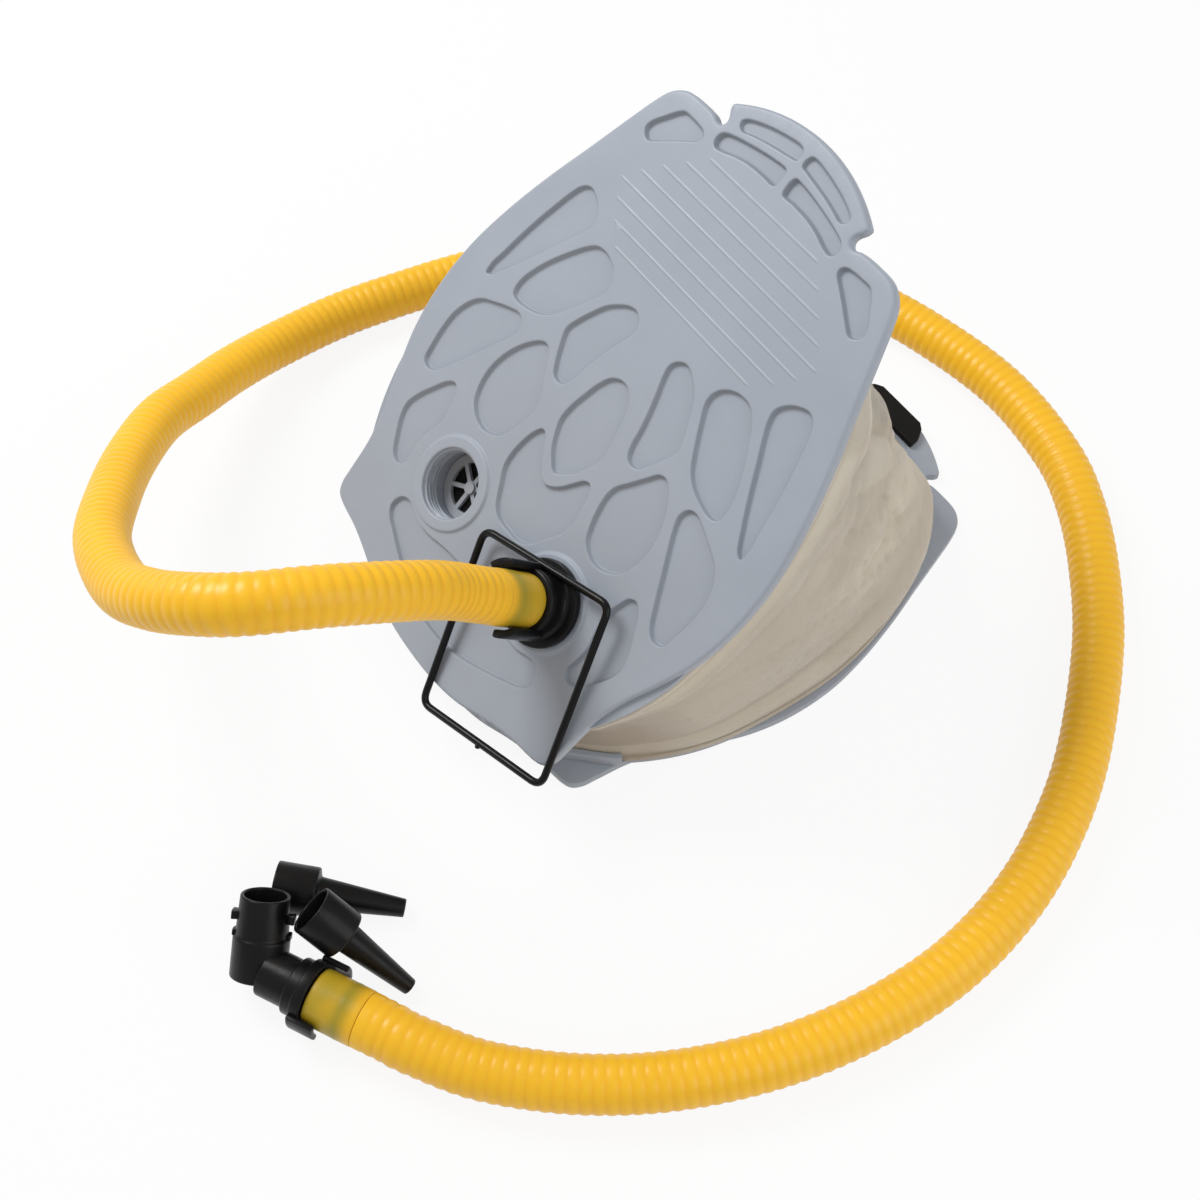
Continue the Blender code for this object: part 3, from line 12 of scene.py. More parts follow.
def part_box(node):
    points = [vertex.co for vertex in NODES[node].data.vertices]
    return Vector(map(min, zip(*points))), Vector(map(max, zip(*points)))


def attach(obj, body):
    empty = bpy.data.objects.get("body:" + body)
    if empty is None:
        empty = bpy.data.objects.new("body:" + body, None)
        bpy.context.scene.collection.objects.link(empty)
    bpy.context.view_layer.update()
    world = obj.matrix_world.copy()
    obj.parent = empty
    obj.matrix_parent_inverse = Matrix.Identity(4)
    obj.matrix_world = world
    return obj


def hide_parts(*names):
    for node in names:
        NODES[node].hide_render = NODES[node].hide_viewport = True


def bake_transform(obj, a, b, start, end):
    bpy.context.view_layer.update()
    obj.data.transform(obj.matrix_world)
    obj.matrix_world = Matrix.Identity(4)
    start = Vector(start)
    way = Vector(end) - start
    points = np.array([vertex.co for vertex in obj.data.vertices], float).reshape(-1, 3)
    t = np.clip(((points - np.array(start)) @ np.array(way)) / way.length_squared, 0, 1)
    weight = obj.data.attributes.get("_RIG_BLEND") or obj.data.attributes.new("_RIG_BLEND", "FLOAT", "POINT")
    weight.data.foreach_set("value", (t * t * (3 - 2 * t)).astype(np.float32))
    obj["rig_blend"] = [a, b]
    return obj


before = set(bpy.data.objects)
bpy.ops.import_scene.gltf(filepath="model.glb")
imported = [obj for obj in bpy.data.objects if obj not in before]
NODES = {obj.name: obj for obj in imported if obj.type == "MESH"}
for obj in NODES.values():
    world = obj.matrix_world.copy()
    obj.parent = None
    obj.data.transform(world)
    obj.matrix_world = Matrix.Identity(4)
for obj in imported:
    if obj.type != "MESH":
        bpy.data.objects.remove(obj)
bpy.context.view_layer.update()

# ---------------------------------------------------------------- sizes, in metres
# A plate has coordinates of its own: u runs from the hinge pin to the tab, v across, and w
# from the middle plane to the outer face. LID and BASE place them in the frame.
HINGE = Vector((-0.140, 0.0, 0.018))
OPEN_ANGLE = math.radians(44.7)
LID = Matrix.Translation(HINGE) @ Matrix.Rotation(-OPEN_ANGLE, 4, "Y")
BASE = Matrix.Translation(HINGE) @ Matrix.Scale(-1, 4, (0, 0, 1))

HALF = 0.018                      # from the middle plane to a plate's outer face, at the rim
RIM_W = 0.0125                    # inner face of the rim
PANEL_W = 0.015                   # inner face of the panel
EDGE_ROUND = 0.0017
EDGE_STEP = 0.0013                # between the points of an outline
CURVE_STEP = 0.0006               # between a curve's points before they are spaced evenly
LINE_STEP = 0.0020                # between the points of the cavity's outline
GAP = 0.0003

PLATE_LENGTH = 0.2915
HINGE_BULGE = 0.0095
PLATE_HALF_WIDTH = 0.1195
HINGE_EAR = (0.0125, 0.0935)
TAB_EAR = (0.2665, 0.0760)
TAB_HALF_WIDTH = 0.0460
TAB_RADIUS = 0.088
NOTCH_U = 0.2690
NOTCH_V = 0.0430

BELLOWS_TIP_U = 0.273
BELLOWS_HINGE_U = 0.015
BELLOWS_HALF_WIDTH = 0.1155
SKIN = 0.0011
SKIN_SEAT_W = 0.0146
SKIN_BEAD_W = 0.0085
BEAD_PROUD = 0.0010
WALL_THICKNESS = 0.0028
WALL_TOP_W = 0.0055
WALL_END_U = 0.039
LID_WALL_END_U = 0.028
WALL_CLEAR_RUN = 0.006
FREE_RUN = 0.030

PIN_RADIUS = 0.0026
KNUCKLE_RADIUS = 0.0055
BASE_KNUCKLES = ((-0.037, 0.014), (0.0, 0.018), (0.037, 0.014))
LID_KNUCKLES = ((-0.0195, 0.0198), (0.0195, 0.0198))
CAP_RADIUS = 0.0048
CAP_LENGTH = 0.005

PORT_U = 0.0625
PORT_V = 0.041
PORT_RING_RADIUS = 0.0233
PORT_RING_HEIGHT = 0.0012
PORT_BOSS_RADIUS = 0.0208
PORT_RADIUS = 0.0172
PORT_BOTTOM_W = -0.001
PORT_SIDES = 90
LEDGE_RADIUS = 0.0150
LEDGE_TOP_W = 0.001
THREAD_RUN = (0.0184, 0.0078)     # heights between which the port's thread runs
THREAD_PITCH = 0.0023
THREAD_DEPTH = 0.0009

POCKET_DEPTH = 0.0022
SLOT_DEPTH = 0.0020
GRIP_DEPTH = 0.0025
EAR_DEPTH = 0.0023
SHOULDER = 0.0004
WALL_RUN = 0.0009
HOLLOW_MARGIN = 0.003
RIB_HEIGHT = 0.00024
RIB_WIDTH = 0.0009
RIB_FIRST_U = 0.198
RIB_PITCH = 0.0081
RIB_HALF_LENGTHS = (0.050, 0.059, 0.066, 0.071, 0.064, 0.056, 0.047, 0.038)

# Where a plate's outer face gets points: inwards from a hollow's outline, round a port,
# across a rib, and on a grid over the rest.
HOLLOW_OFFSETS = (-0.0009, -0.0005, -0.0002, 0.0002, 0.0006, 0.0010, 0.0014, 0.0020)
PORT_CIRCLES = (0.0245, 0.0236, 0.0232, 0.0228, 0.0224, 0.0218, 0.0200, 0.0187)
RIB_ACROSS = (-0.0010, -0.0006, -0.0003, 0.0, 0.0003, 0.0006, 0.0010)
GRID_STEP = 0.0032
GRID_START = (-0.012, -0.122)
GRID_CELL = 0.0014                # a grid point this close to another point is left out

FLANGE_RADIUS = 0.0205
FLANGE_HEIGHT = 0.0035
NECK_BOTTOM_W = 0.0095
COLLAR_RADIUS = 0.0144
COLLAR_TOP_W = 0.034
CONNECTOR_BORE = 0.0080
SPIGOT_RADIUS = 0.00945
SPIGOT_LENGTH = 0.020
WING_RADIUS = (0.0142, 0.0178)
WING_W = (0.0285, 0.0500)
WING_WIDTH = 0.011
WING_ANGLE = math.radians(49.5)

HOSE_DIAMETER = 0.025
HOSE_VALLEY = 0.0240
HOSE_BORE = 0.0195
HOSE_RIBS = 298
CUFF_LENGTH = 0.024
CUFF_DIAMETER = 0.0254
HOSE_RIB_STEPS = 7
HOSE_SIDES = 40
HOSE_BORE_RINGS = 160
PUMP_CUFF_BAND = (0.0165, 0.08)   # where the fitting ends under a cuff, and how dark that shows
FAR_CUFF_BAND = (0.0158, 0.27)
HOSE_ROUTE = (
    (-0.1680, -0.0437, 0.1360), (-0.1944, -0.0430, 0.1540), (-0.2150, -0.0400, 0.1640),
    (-0.2366, -0.0326, 0.1680), (-0.2507, -0.0206, 0.1640), (-0.2640, 0.0040, 0.1480),
    (-0.2690, 0.0330, 0.1280), (-0.2630, 0.0750, 0.1060), (-0.2450, 0.1130, 0.0850),
    (-0.2250, 0.1440, 0.0680), (-0.2010, 0.1700, 0.0540), (-0.1750, 0.1870, 0.0410),
    (-0.1490, 0.2020, 0.0300), (-0.1190, 0.2140, 0.0200), (-0.0780, 0.2210, 0.0134),
    (-0.0410, 0.2180, 0.0127), (0.0100, 0.2090, 0.0127), (0.0650, 0.1900, 0.0127),
    (0.1150, 0.1600, 0.0127), (0.1550, 0.1150, 0.0127), (0.1820, 0.0680, 0.0127),
    (0.1960, 0.0220, 0.0127), (0.2020, -0.0260, 0.0127), (0.1950, -0.0740, 0.0127),
    (0.1810, -0.1070, 0.0127), (0.1580, -0.1410, 0.0127), (0.1270, -0.1760, 0.0127),
    (0.0790, -0.2160, 0.0127), (0.0380, -0.2400, 0.0127), (-0.0020, -0.2550, 0.0127),
    (-0.0450, -0.2620, 0.0127), (-0.0900, -0.2600, 0.0127), (-0.1320, -0.2510, 0.0127),
    (-0.1720, -0.2350, 0.0127), (-0.2060, -0.2140, 0.0127), (-0.2350, -0.1880, 0.0127),
)
HOSE_END = Vector((-0.2655, -0.1425, 0.0149))
HOSE_END_WAY = Vector((-0.4950, 0.8690, 0.0)).normalized()
HOSE_FREE_RUN = 0.42              # the hose follows the lid near the port, and lies still past this

ELBOW_COLLAR = (0.0146, 0.005)
ELBOW_STEP = (0.0128, 0.005)
ELBOW_ARM = (0.0110, 0.014)
ELBOW_WING_RADIUS = (0.0140, 0.0168)
ELBOW_WING_RUN = (-0.0085, 0.0045)
ELBOW_CUP_RADIUS = 0.0123
ELBOW_NECK_RADIUS = (0.0114, 0.0107)
ELBOW_CUP_LENGTH = 0.018
ELBOW_NECK_LENGTH = 0.0184
ELBOW_BORE = 0.0090
ELBOW_FOOT = Vector((-0.2934, -0.0982, 0.0098))
ELBOW_AXIS = Vector((0.500, 0.545, 0.673)).normalized()
ELBOW_LUGS = ((0.0078, 0.0114, 0.0024), (0.0160, 0.0185, 0.0014))
LUG_SIDE = Vector((-0.828, 0.560, 0.0))

NOZZLE_BASE_LENGTH = 0.0187
NOZZLE_BASE_RADIUS = 0.0112
NOZZLE_WALL = 0.0016
TAPER_NOZZLE = ((-0.2678, -0.0656, 0.0116), (-0.2242, -0.1039, 0.0048), 0.0074, 0.0041)
SLIM_NOZZLE = ((-0.2627, -0.0959, 0.0366), (-0.2409, -0.1367, 0.0045), 0.0067, 0.0037)

BAIL_WIRE = 0.0032
BAIL_RADIUS = 0.0018
BAIL_CORNERS = ((-0.0385, 0.0), (-0.0358, 0.0890), (0.0440, 0.0886), (0.0412, 0.0))
BAIL_CORNER = 0.006
BAIL_TURN = math.radians(17.5)
BAIL_SIDE_SHIFT = 0.0048
BAIL_DROP = math.radians(3.7)
BAIL_SIDES = 16

BUMPER_U = (0.2760, 0.2902)
BUMPER_HEIGHT = 0.0040

SCREW_WELL_RADIUS = 0.0034
SCREW_WELL_DEPTH = 0.0018
SCREW_AT = (0.10, 0.21, 0.32, 0.42)
CLAMP_WIDTH = 0.0080

SPRING_U = 0.140
SPRING_RADIUS = 0.024
SPRING_WIRE = 0.003
SPRING_TURNS = 7
SPRING_REACH = 0.0114
SPRING_TURN_STEPS = 40
SPRING_SIDES = 12

CAMERA_PLACE = Vector((-0.33447, -0.39447, 0.69206))
CAMERA_RIGHT = Vector((0.827657, -0.560808, 0.021883))
CAMERA_DOWN = Vector((-0.45293, -0.690456, -0.564025))
CAMERA_AHEAD = Vector((0.331419, 0.456908, -0.825468))
CAMERA_LENS = 49.68

WHITE = (1.0, 1.0, 1.0, 1.0)
WORLD_STRENGTH = 0.50
FLOOR_COLOUR = (0.82, 0.82, 0.82, 1.0)
FLOOR_GLOW = 0.90                 # how white the floor is to the camera
FLOOR_SIZE = 6.0
FLOOR_Z = -0.0002
LAMP_TARGET = Vector((-0.02, 0.0, 0.08))
LAMPS = (                         # name, way, distance, size, power
    ("key", (-0.30, 0.64, 0.78), 1.6, 0.8, 17.0),
    ("fill", (0.33, -0.91, 0.60), 1.7, 1.4, 9.0),
)


# ---------------------------------------------------------------- curves and outlines
def smooth(points, per_span):
    """Points on a Catmull-Rom curve through the given points, per_span to a span."""
    pts = [np.array(p, float) for p in points]
    pts = [2 * pts[0] - pts[1]] + pts + [2 * pts[-1] - pts[-2]]
    out = []
    for a, b, c, d in zip(pts, pts[1:], pts[2:], pts[3:]):
        for k in range(per_span):
            t = k / per_span
            out.append(0.5 * (2 * b + (c - a) * t + (2 * a - 5 * b + 4 * c - d) * t * t
                              + (3 * b - a - 3 * c + d) * t ** 3))
    out.append(pts[-2])
    return [tuple(p) for p in out]


def closed_curve(points, step):
    """A smooth closed curve through the points, with a point about every step."""
    pts = np.array(points, float)
    count = len(pts)
    out = []
    for i in range(count):
        p0, p1, p2, p3 = (pts[(i + k) % count] for k in (-1, 0, 1, 2))
        t0 = 0.0
        t1 = t0 + np.linalg.norm(p1 - p0) ** 0.5
        t2 = t1 + np.linalg.norm(p2 - p1) ** 0.5
        t3 = t2 + np.linalg.norm(p3 - p2) ** 0.5
        pieces = max(1, math.ceil(np.linalg.norm(p2 - p1) / step))
        for k in range(pieces):
            t = t1 + (t2 - t1) * k / pieces
            a1 = ((t1 - t) * p0 + (t - t0) * p1) / (t1 - t0)
            a2 = ((t2 - t) * p1 + (t - t1) * p2) / (t2 - t1)
            a3 = ((t3 - t) * p2 + (t - t2) * p3) / (t3 - t2)
            b1 = ((t2 - t) * a1 + (t - t0) * a2) / (t2 - t0)
            b2 = ((t3 - t) * a2 + (t - t1) * a3) / (t3 - t1)
            out.append(((t2 - t) * b1 + (t - t1) * b2) / (t2 - t1))
    return np.array(out)


def run_along(points):
    """How far along a line each of its points is."""
    return np.concatenate([[0], np.cumsum(np.linalg.norm(np.diff(points, axis=0), axis=1))])


def even(line, step):
    """A closed outline again, with points about step apart."""
    pts = np.vstack([line, line[:1]])
    run = run_along(pts)
    at = np.linspace(0, run[-1], max(8, round(run[-1] / step)), endpoint=False)
    return np.stack([np.interp(at, run, pts[:, k]) for k in (0, 1)], axis=1)


def traced(points, step=EDGE_STEP, curve_step=CURVE_STEP):
    """A smooth closed outline through the points, with its own points about step apart."""
    return even(closed_curve(points, curve_step), step)


def corner_arc(corner, before, after, radius, steps):
    """Points that round a corner between two sides, given as ways from it."""
    reach = min(radius, before.length * 0.45, after.length * 0.45)
    start = corner + before.normalized() * reach
    end = corner + after.normalized() * reach
    shares = [k / steps for k in range(steps + 1)]
    return [tuple(start.lerp(corner, t).lerp(corner.lerp(end, t), t)) for t in shares]


def rounded(points, radius, steps):
    """A closed outline whose corners are arcs of about the given radius."""
    out = []
    count = len(points)
    for i in range(count):
        corner = Vector(points[i])
        before = Vector(points[i - 1]) - corner
        after = Vector(points[(i + 1) % count]) - corner
        half = before.angle(after) / 2
        out += corner_arc(corner, before, after, radius / math.tan(half), steps)
    return np.array(out)


def mirrored(half):
    """Close a half outline, given from v = 0 at the hinge to v = 0 at the tab."""
    return list(half) + [(u, -v) for u, v in reversed(half) if v > 1e-6]


def flipped(outline):
    """The same outline on the plate's other side."""
    return np.array([(u, -v) for u, v in reversed(list(outline))])


def signed_area(line):
    u, v = np.array(line).T
    return float((np.roll(u, 1) * v - u * np.roll(v, 1)).sum()) / 2


def offset(line, distance):
    """The outline moved by a distance, or by one for each point, inwards when positive."""
    pts = np.array(line, float)
    side = 1.0 if signed_area(pts) > 0 else -1.0
    first = pts - np.roll(pts, 1, axis=0)
    second = np.roll(pts, -1, axis=0) - pts
    first /= np.linalg.norm(first, axis=1)[:, None]
    second /= np.linalg.norm(second, axis=1)[:, None]
    normal = np.stack([-(first + second)[:, 1], (first + second)[:, 0]], axis=1)
    normal /= np.linalg.norm(normal, axis=1)[:, None]
    stretch = np.maximum(0.5, (normal * np.stack([-first[:, 1], first[:, 0]], axis=1)).sum(1))
    return pts + normal * (side * np.asarray(distance) / stretch)[..., None]


def inside_distance(points, line):
    """Distance from each point to a closed outline, positive inside it."""
    a = np.array(line, float)
    d = np.roll(a, -1, axis=0) - a
    best = np.full(len(points), np.inf)
    odd = np.zeros(len(points), bool)
    for start, way in zip(a, d):
        rel = points - start
        t = np.clip(rel @ way / max(way @ way, 1e-18), 0, 1)
        best = np.minimum(best, np.hypot(*(rel - t[:, None] * way).T))
        crosses = (start[1] > points[:, 1]) != (start[1] + way[1] > points[:, 1])
        if way[1]:
            at = start[0] + way[0] * (points[:, 1] - start[1]) / way[1]
            odd ^= crosses & (points[:, 0] < at)
    return np.where(odd, best, -best)


def near_line(points, line):
    """Numbers of the points in the box round an outline, with a margin."""
    low, high = line.min(0) - HOLLOW_MARGIN, line.max(0) + HOLLOW_MARGIN
    return np.flatnonzero(((points >= low) & (points <= high)).all(axis=1))


def step_up(value):
    """0 below 0, 1 above 1, and smooth between."""
    t = np.clip(value, 0, 1)
    return t * t * (3 - 2 * t)


def plate_half():
    """Half of a plate's outline: hinge edge, ears, side, notch and tab."""
    hinge = [(-HINGE_BULGE, 0.0), (-0.0085, 0.020), (-0.0050, 0.038), (0.0015, 0.055),
             (0.0065, 0.072), (0.0085, 0.084)]
    ear_u, ear_v = HINGE_EAR
    hinge_ear = [(0.0095, ear_v - 0.0050), (ear_u - 0.0010, ear_v - 0.0008),
                 (0.0165, ear_v + 0.0018)]
    side = [(0.024, 0.0960), (0.042, 0.0975), (0.060, 0.1020), (0.080, 0.1100), (0.100, 0.1165),
            (0.123, PLATE_HALF_WIDTH), (0.148, 0.1183), (0.172, 0.1130), (0.198, 0.1045),
            (0.222, 0.0950), (0.244, 0.0865), (0.257, 0.0812)]
    ear_u, ear_v = TAB_EAR
    tab_ear = [(0.2630, ear_v + 0.0020), (ear_u, ear_v - 0.0015), (0.2692, ear_v - 0.0068)]
    notch = [(0.2700, 0.060), (0.2695, 0.050), (NOTCH_U - 0.0008, 0.0468),
             (NOTCH_U - 0.0004, 0.0442), (NOTCH_U + 0.0016, NOTCH_V),
             (NOTCH_U + 0.0040, NOTCH_V + 0.0006), (0.2755, TAB_HALF_WIDTH - 0.0006),
             (0.2783, TAB_HALF_WIDTH)]
    centre = PLATE_LENGTH - TAB_RADIUS
    start = math.asin((TAB_HALF_WIDTH - 0.0020) / TAB_RADIUS)
    angles = [start * (1 - k / 6) for k in range(7)]
    tab = [(centre + TAB_RADIUS * math.cos(a), TAB_RADIUS * math.sin(a)) for a in angles]
    return hinge + hinge_ear + side + tab_ear + notch + tab


def bellows_half():
    """Half of the line where the fabric leaves the plates."""
    hinge = [(BELLOWS_HINGE_U, 0.0), (BELLOWS_HINGE_U, 0.028), (BELLOWS_HINGE_U, 0.054),
             (BELLOWS_HINGE_U + 0.0005, 0.074)]
    side = [(0.0235, 0.0830), (0.0360, 0.0940), (0.0500, 0.1020), (0.0660, 0.1085),
            (0.0840, 0.1130), (0.1040, 0.1150), (0.1260, BELLOWS_HALF_WIDTH), (0.1500, 0.1143),
            (0.1730, 0.1100), (0.1950, 0.1030), (0.2160, 0.0940), (0.2330, 0.0830),
            (0.2470, 0.0690), (0.2580, 0.0525), (0.2655, 0.0360), (0.2708, 0.0190),
            (BELLOWS_TIP_U, 0.0)]
    return hinge + side


POCKETS = (
    ((0.1448, 0.1000), (0.1460, 0.0970), (0.1536, 0.0915), (0.1657, 0.0838), (0.1791, 0.0760),
     (0.1870, 0.0712), (0.1938, 0.0676), (0.1990, 0.0666), (0.2038, 0.0695), (0.2076, 0.0750),
     (0.2088, 0.0805), (0.2060, 0.0848), (0.1995, 0.0880), (0.1909, 0.0908), (0.1807, 0.0938),
     (0.1691, 0.0966), (0.1580, 0.0988), (0.1500, 0.1006)),
    ((0.1544, 0.0549), (0.1621, 0.0491), (0.1719, 0.0428), (0.1795, 0.0387), (0.1844, 0.0385),
     (0.1889, 0.0412), (0.1922, 0.0465), (0.1932, 0.0525), (0.1921, 0.0575), (0.1880, 0.0622),
     (0.1802, 0.0682), (0.1717, 0.0738), (0.1622, 0.0785), (0.1545, 0.0808), (0.1485, 0.0800),
     (0.1468, 0.0758), (0.1497, 0.0623)),
    ((0.0938, 0.0890), (0.1033, 0.0827), (0.1132, 0.0769), (0.1235, 0.0708), (0.1319, 0.0661),
     (0.1377, 0.0642), (0.1422, 0.0661), (0.1437, 0.0703), (0.1418, 0.0769), (0.1381, 0.0856),
     (0.1343, 0.0931), (0.1282, 0.0981), (0.1194, 0.1013), (0.1102, 0.1018), (0.1003, 0.1008),
     (0.0925, 0.0990), (0.0909, 0.0939)),
    ((0.0969, 0.0364), (0.1033, 0.0329), (0.1107, 0.0306), (0.1182, 0.0294), (0.1235, 0.0304),
     (0.1299, 0.0347), (0.1374, 0.0398), (0.1428, 0.0438), (0.1438, 0.0477), (0.1411, 0.0522),
     (0.1338, 0.0581), (0.1257, 0.0621), (0.1162, 0.0642), (0.1071, 0.0635), (0.0990, 0.0601),
     (0.0939, 0.0532), (0.0927, 0.0450)),
    ((0.1375, 0.0254), (0.1426, 0.0230), (0.1501, 0.0215), (0.1582, 0.0192), (0.1664, 0.0164),
     (0.1748, 0.0133), (0.1794, 0.0127), (0.1829, 0.0149), (0.1850, 0.0188), (0.1841, 0.0233),
     (0.1807, 0.0287), (0.1765, 0.0332), (0.1697, 0.0374), (0.1617, 0.0415), (0.1559, 0.0433),
     (0.1494, 0.0409), (0.1421, 0.0370), (0.1370, 0.0333), (0.1358, 0.0290)),
    ((0.0783, 0.0682), (0.0840, 0.0684), (0.0900, 0.0698), (0.0951, 0.0720), (0.0967, 0.0755),
     (0.0942, 0.0795), (0.0873, 0.0841), (0.0789, 0.0889), (0.0714, 0.0915), (0.0651, 0.0905),
     (0.0557, 0.0853), (0.0484, 0.0796), (0.0471, 0.0745), (0.0508, 0.0708), (0.0570, 0.0716),
     (0.0650, 0.0720), (0.0715, 0.0702)),
)
CRESCENT_HALF = ((0.0071, 0.0), (0.0087, 0.0161), (0.0128, 0.0293), (0.0177, 0.0413),
                 (0.0225, 0.0515), (0.0260, 0.0582), (0.0303, 0.0618), (0.0350, 0.0614),
                 (0.0384, 0.0588), (0.0396, 0.0545), (0.0385, 0.0500), (0.0366, 0.0440),
                 (0.0364, 0.0347), (0.0385, 0.0245), (0.0399, 0.0147), (0.0405, 0.0))
BUTTERFLY_HALF = ((0.0700, 0.0), (0.0706, 0.0080), (0.0735, 0.0133), (0.0817, 0.0190),
                  (0.0896, 0.0238), (0.0970, 0.0248), (0.1069, 0.0236), (0.1122, 0.0218),
                  (0.1156, 0.0192), (0.1146, 0.0160), (0.1092, 0.0118), (0.1043, 0.0082),
                  (0.1004, 0.0036), (0.0990, 0.0))
DROP_HALF = ((0.1060, 0.0), (0.1092, 0.0050), (0.1138, 0.0095), (0.1197, 0.0130),
             (0.1255, 0.0152), (0.1330, 0.0150), (0.1415, 0.0130), (0.1498, 0.0105),
             (0.1557, 0.0070), (0.1585, 0.0025), (0.1588, 0.0))
EAR_POCKET = ((0.2567, 0.0481), (0.2590, 0.0475), (0.2611, 0.0495), (0.2619, 0.0536),
              (0.2621, 0.0588), (0.2619, 0.0638), (0.2600, 0.0665), (0.2547, 0.0709),
              (0.2493, 0.0751), (0.2459, 0.0762), (0.2430, 0.0742), (0.2417, 0.0710),
              (0.2441, 0.0666), (0.2489, 0.0597), (0.2529, 0.0536))
OUTER_SLOT = ((0.2786, 0.0020), (0.2820, 0.0018), (0.2842, 0.0032), (0.2846, 0.0060),
              (0.2838, 0.0125), (0.2820, 0.0215), (0.2795, 0.0300), (0.2774, 0.0348),
              (0.2756, 0.0366), (0.2738, 0.0360), (0.2722, 0.0335), (0.2734, 0.0285),
              (0.2751, 0.0213), (0.2766, 0.0128), (0.2778, 0.0055))
INNER_SLOT = ((0.2648, 0.0030), (0.2680, 0.0022), (0.2712, 0.0023), (0.2733, 0.0034),
              (0.2734, 0.0070), (0.2723, 0.0165), (0.2704, 0.0270), (0.2686, 0.0350),
              (0.2668, 0.0400), (0.2648, 0.0416), (0.2618, 0.0416), (0.2597, 0.0396),
              (0.2602, 0.0350), (0.2624, 0.0280), (0.2639, 0.0205), (0.2645, 0.0110))


def screw_places():
    """Where the clamp screws go through a plate, both sides."""
    half = bellows_half()
    inset = offset(mirrored(half), SKIN + GAP + CLAMP_WIDTH / 2)[:len(half)]
    run = np.array([p for p, q in zip(inset, half) if q[0] > WALL_END_U])
    steps = run_along(run)
    at = 2 * np.array(SCREW_AT) * steps[-1]
    places = [tuple(float(np.interp(a, steps, run[:, k])) for k in (0, 1)) for a in at]
    return places + [(u, -v) for u, v in places]


def wells(with_ports):
    """Every hollow in a plate's outer face: its outline, its depth and its wall's run."""
    out = []
    for points in POCKETS:
        line = traced(points)
        out += [(line, POCKET_DEPTH, WALL_RUN), (flipped(line), POCKET_DEPTH, WALL_RUN)]
    for half in (CRESCENT_HALF, BUTTERFLY_HALF, DROP_HALF):
        out.append((traced(mirrored(half)), POCKET_DEPTH, WALL_RUN))
    if with_ports:
        for points, depth in ((OUTER_SLOT, SLOT_DEPTH), (INNER_SLOT, GRIP_DEPTH),
                              (EAR_POCKET, EAR_DEPTH)):
            line = traced(points, curve_step=0.0004)
            out += [(line, depth, WALL_RUN), (flipped(line), depth, WALL_RUN)]
    else:
        out += [(circle(u, v, SCREW_WELL_RADIUS, 24), SCREW_WELL_DEPTH, 0.0002)
                for u, v in screw_places()]
    return out


# ---------------------------------------------------------------- mesh helpers
class Skin:
    """A surface put together from loops of points, strips between them and filled areas."""

    def __init__(self):
        self.points = []
        self.faces = []

    def loop(self, points):
        start = len(self.points)
        self.points += [tuple(float(c) for c in p) for p in points]
        return list(range(start, len(self.points)))

    def level(self, line, w):
        """A loop of plate coordinates at one height."""
        return self.loop([(u, v, w) for u, v in line])

    def strip(self, first, second):
        count = len(first)
        for i in range(count):
            j = (i + 1) % count
            self.faces.append((first[i], first[j], second[j], second[i]))

    def strips(self, loops):
        for first, second in zip(loops, loops[1:]):
            self.strip(first, second)

    def fill(self, outer, holes, extra, height):
        """Triangles inside the outer loop and outside the holes, through the extra points too."""
        used = list(outer) + [i for hole in holes for i in hole]
        flat = [Vector(self.points[i][:2]) for i in used] + [Vector(p) for p in extra]
        edges = []
        start = 0
        for line in [outer, *holes]:
            edges += [(start + k, start + (k + 1) % len(line)) for k in range(len(line))]
            start += len(line)
        made, _, faces, source, _, _ = delaunay_2d_cdt(flat, edges, [], 1, 1e-7)
        places = np.array([tuple(p) for p in made])
        heights = height(places)
        index = []
        for k, (place, origins) in enumerate(zip(places, source)):
            known = [o for o in origins if o < len(used)]
            if known:
                index.append(used[known[0]])
            else:
                index.append(len(self.points))
                self.points.append((float(place[0]), float(place[1]), float(heights[k])))
        faces = np.array([f for f in faces if len(f) == 3])
        middles = places[faces].mean(axis=1)
        keep = inside_distance(middles, [self.points[i][:2] for i in outer]) > 0
        for hole in holes:
            keep &= inside_distance(middles, [self.points[i][:2] for i in hole]) < 0
        self.faces += [tuple(index[i] for i in f) for f in faces[keep]]

    def mesh(self, name):
        bm = bmesh.new()
        verts = [bm.verts.new(p) for p in self.points]
        for face in self.faces:
            if len(set(face)) == len(face):
                bm.faces.new([verts[i] for i in face])
        bmesh.ops.remove_doubles(bm, verts=bm.verts, dist=2e-7)
        loose = [v for v in bm.verts if not v.link_faces]
        bmesh.ops.delete(bm, geom=loose, context="VERTS")
        return mesh_of(bm, name)


def mesh_of(bm, name):
    """The finished mesh of a bmesh, its faces turned outwards."""
    bmesh.ops.recalc_face_normals(bm, faces=bm.faces)
    mesh = bpy.data.meshes.new(name)
    bm.to_mesh(mesh)
    bm.free()
    return mesh


def moved(mesh, matrix):
    """The mesh at a placement, its faces still outwards if that mirrors it."""
    mesh.transform(matrix)
    if matrix.determinant() < 0:
        mesh.flip_normals()
    return mesh


def circle(centre_u, centre_v, radius, count):
    angles = np.arange(count) * 2 * math.pi / count
    return np.stack([centre_u + radius * np.cos(angles), centre_v + radius * np.sin(angles)], axis=1)


def bridge(bm, first, second):
    """Faces between two rings of vertices."""
    count = len(first)
    for k in range(count):
        n = (k + 1) % count
        bm.faces.new((first[k], first[n], second[n], second[k]))


def linked(obj):
    """The object, put into the scene."""
    bpy.context.scene.collection.objects.link(obj)
    return obj


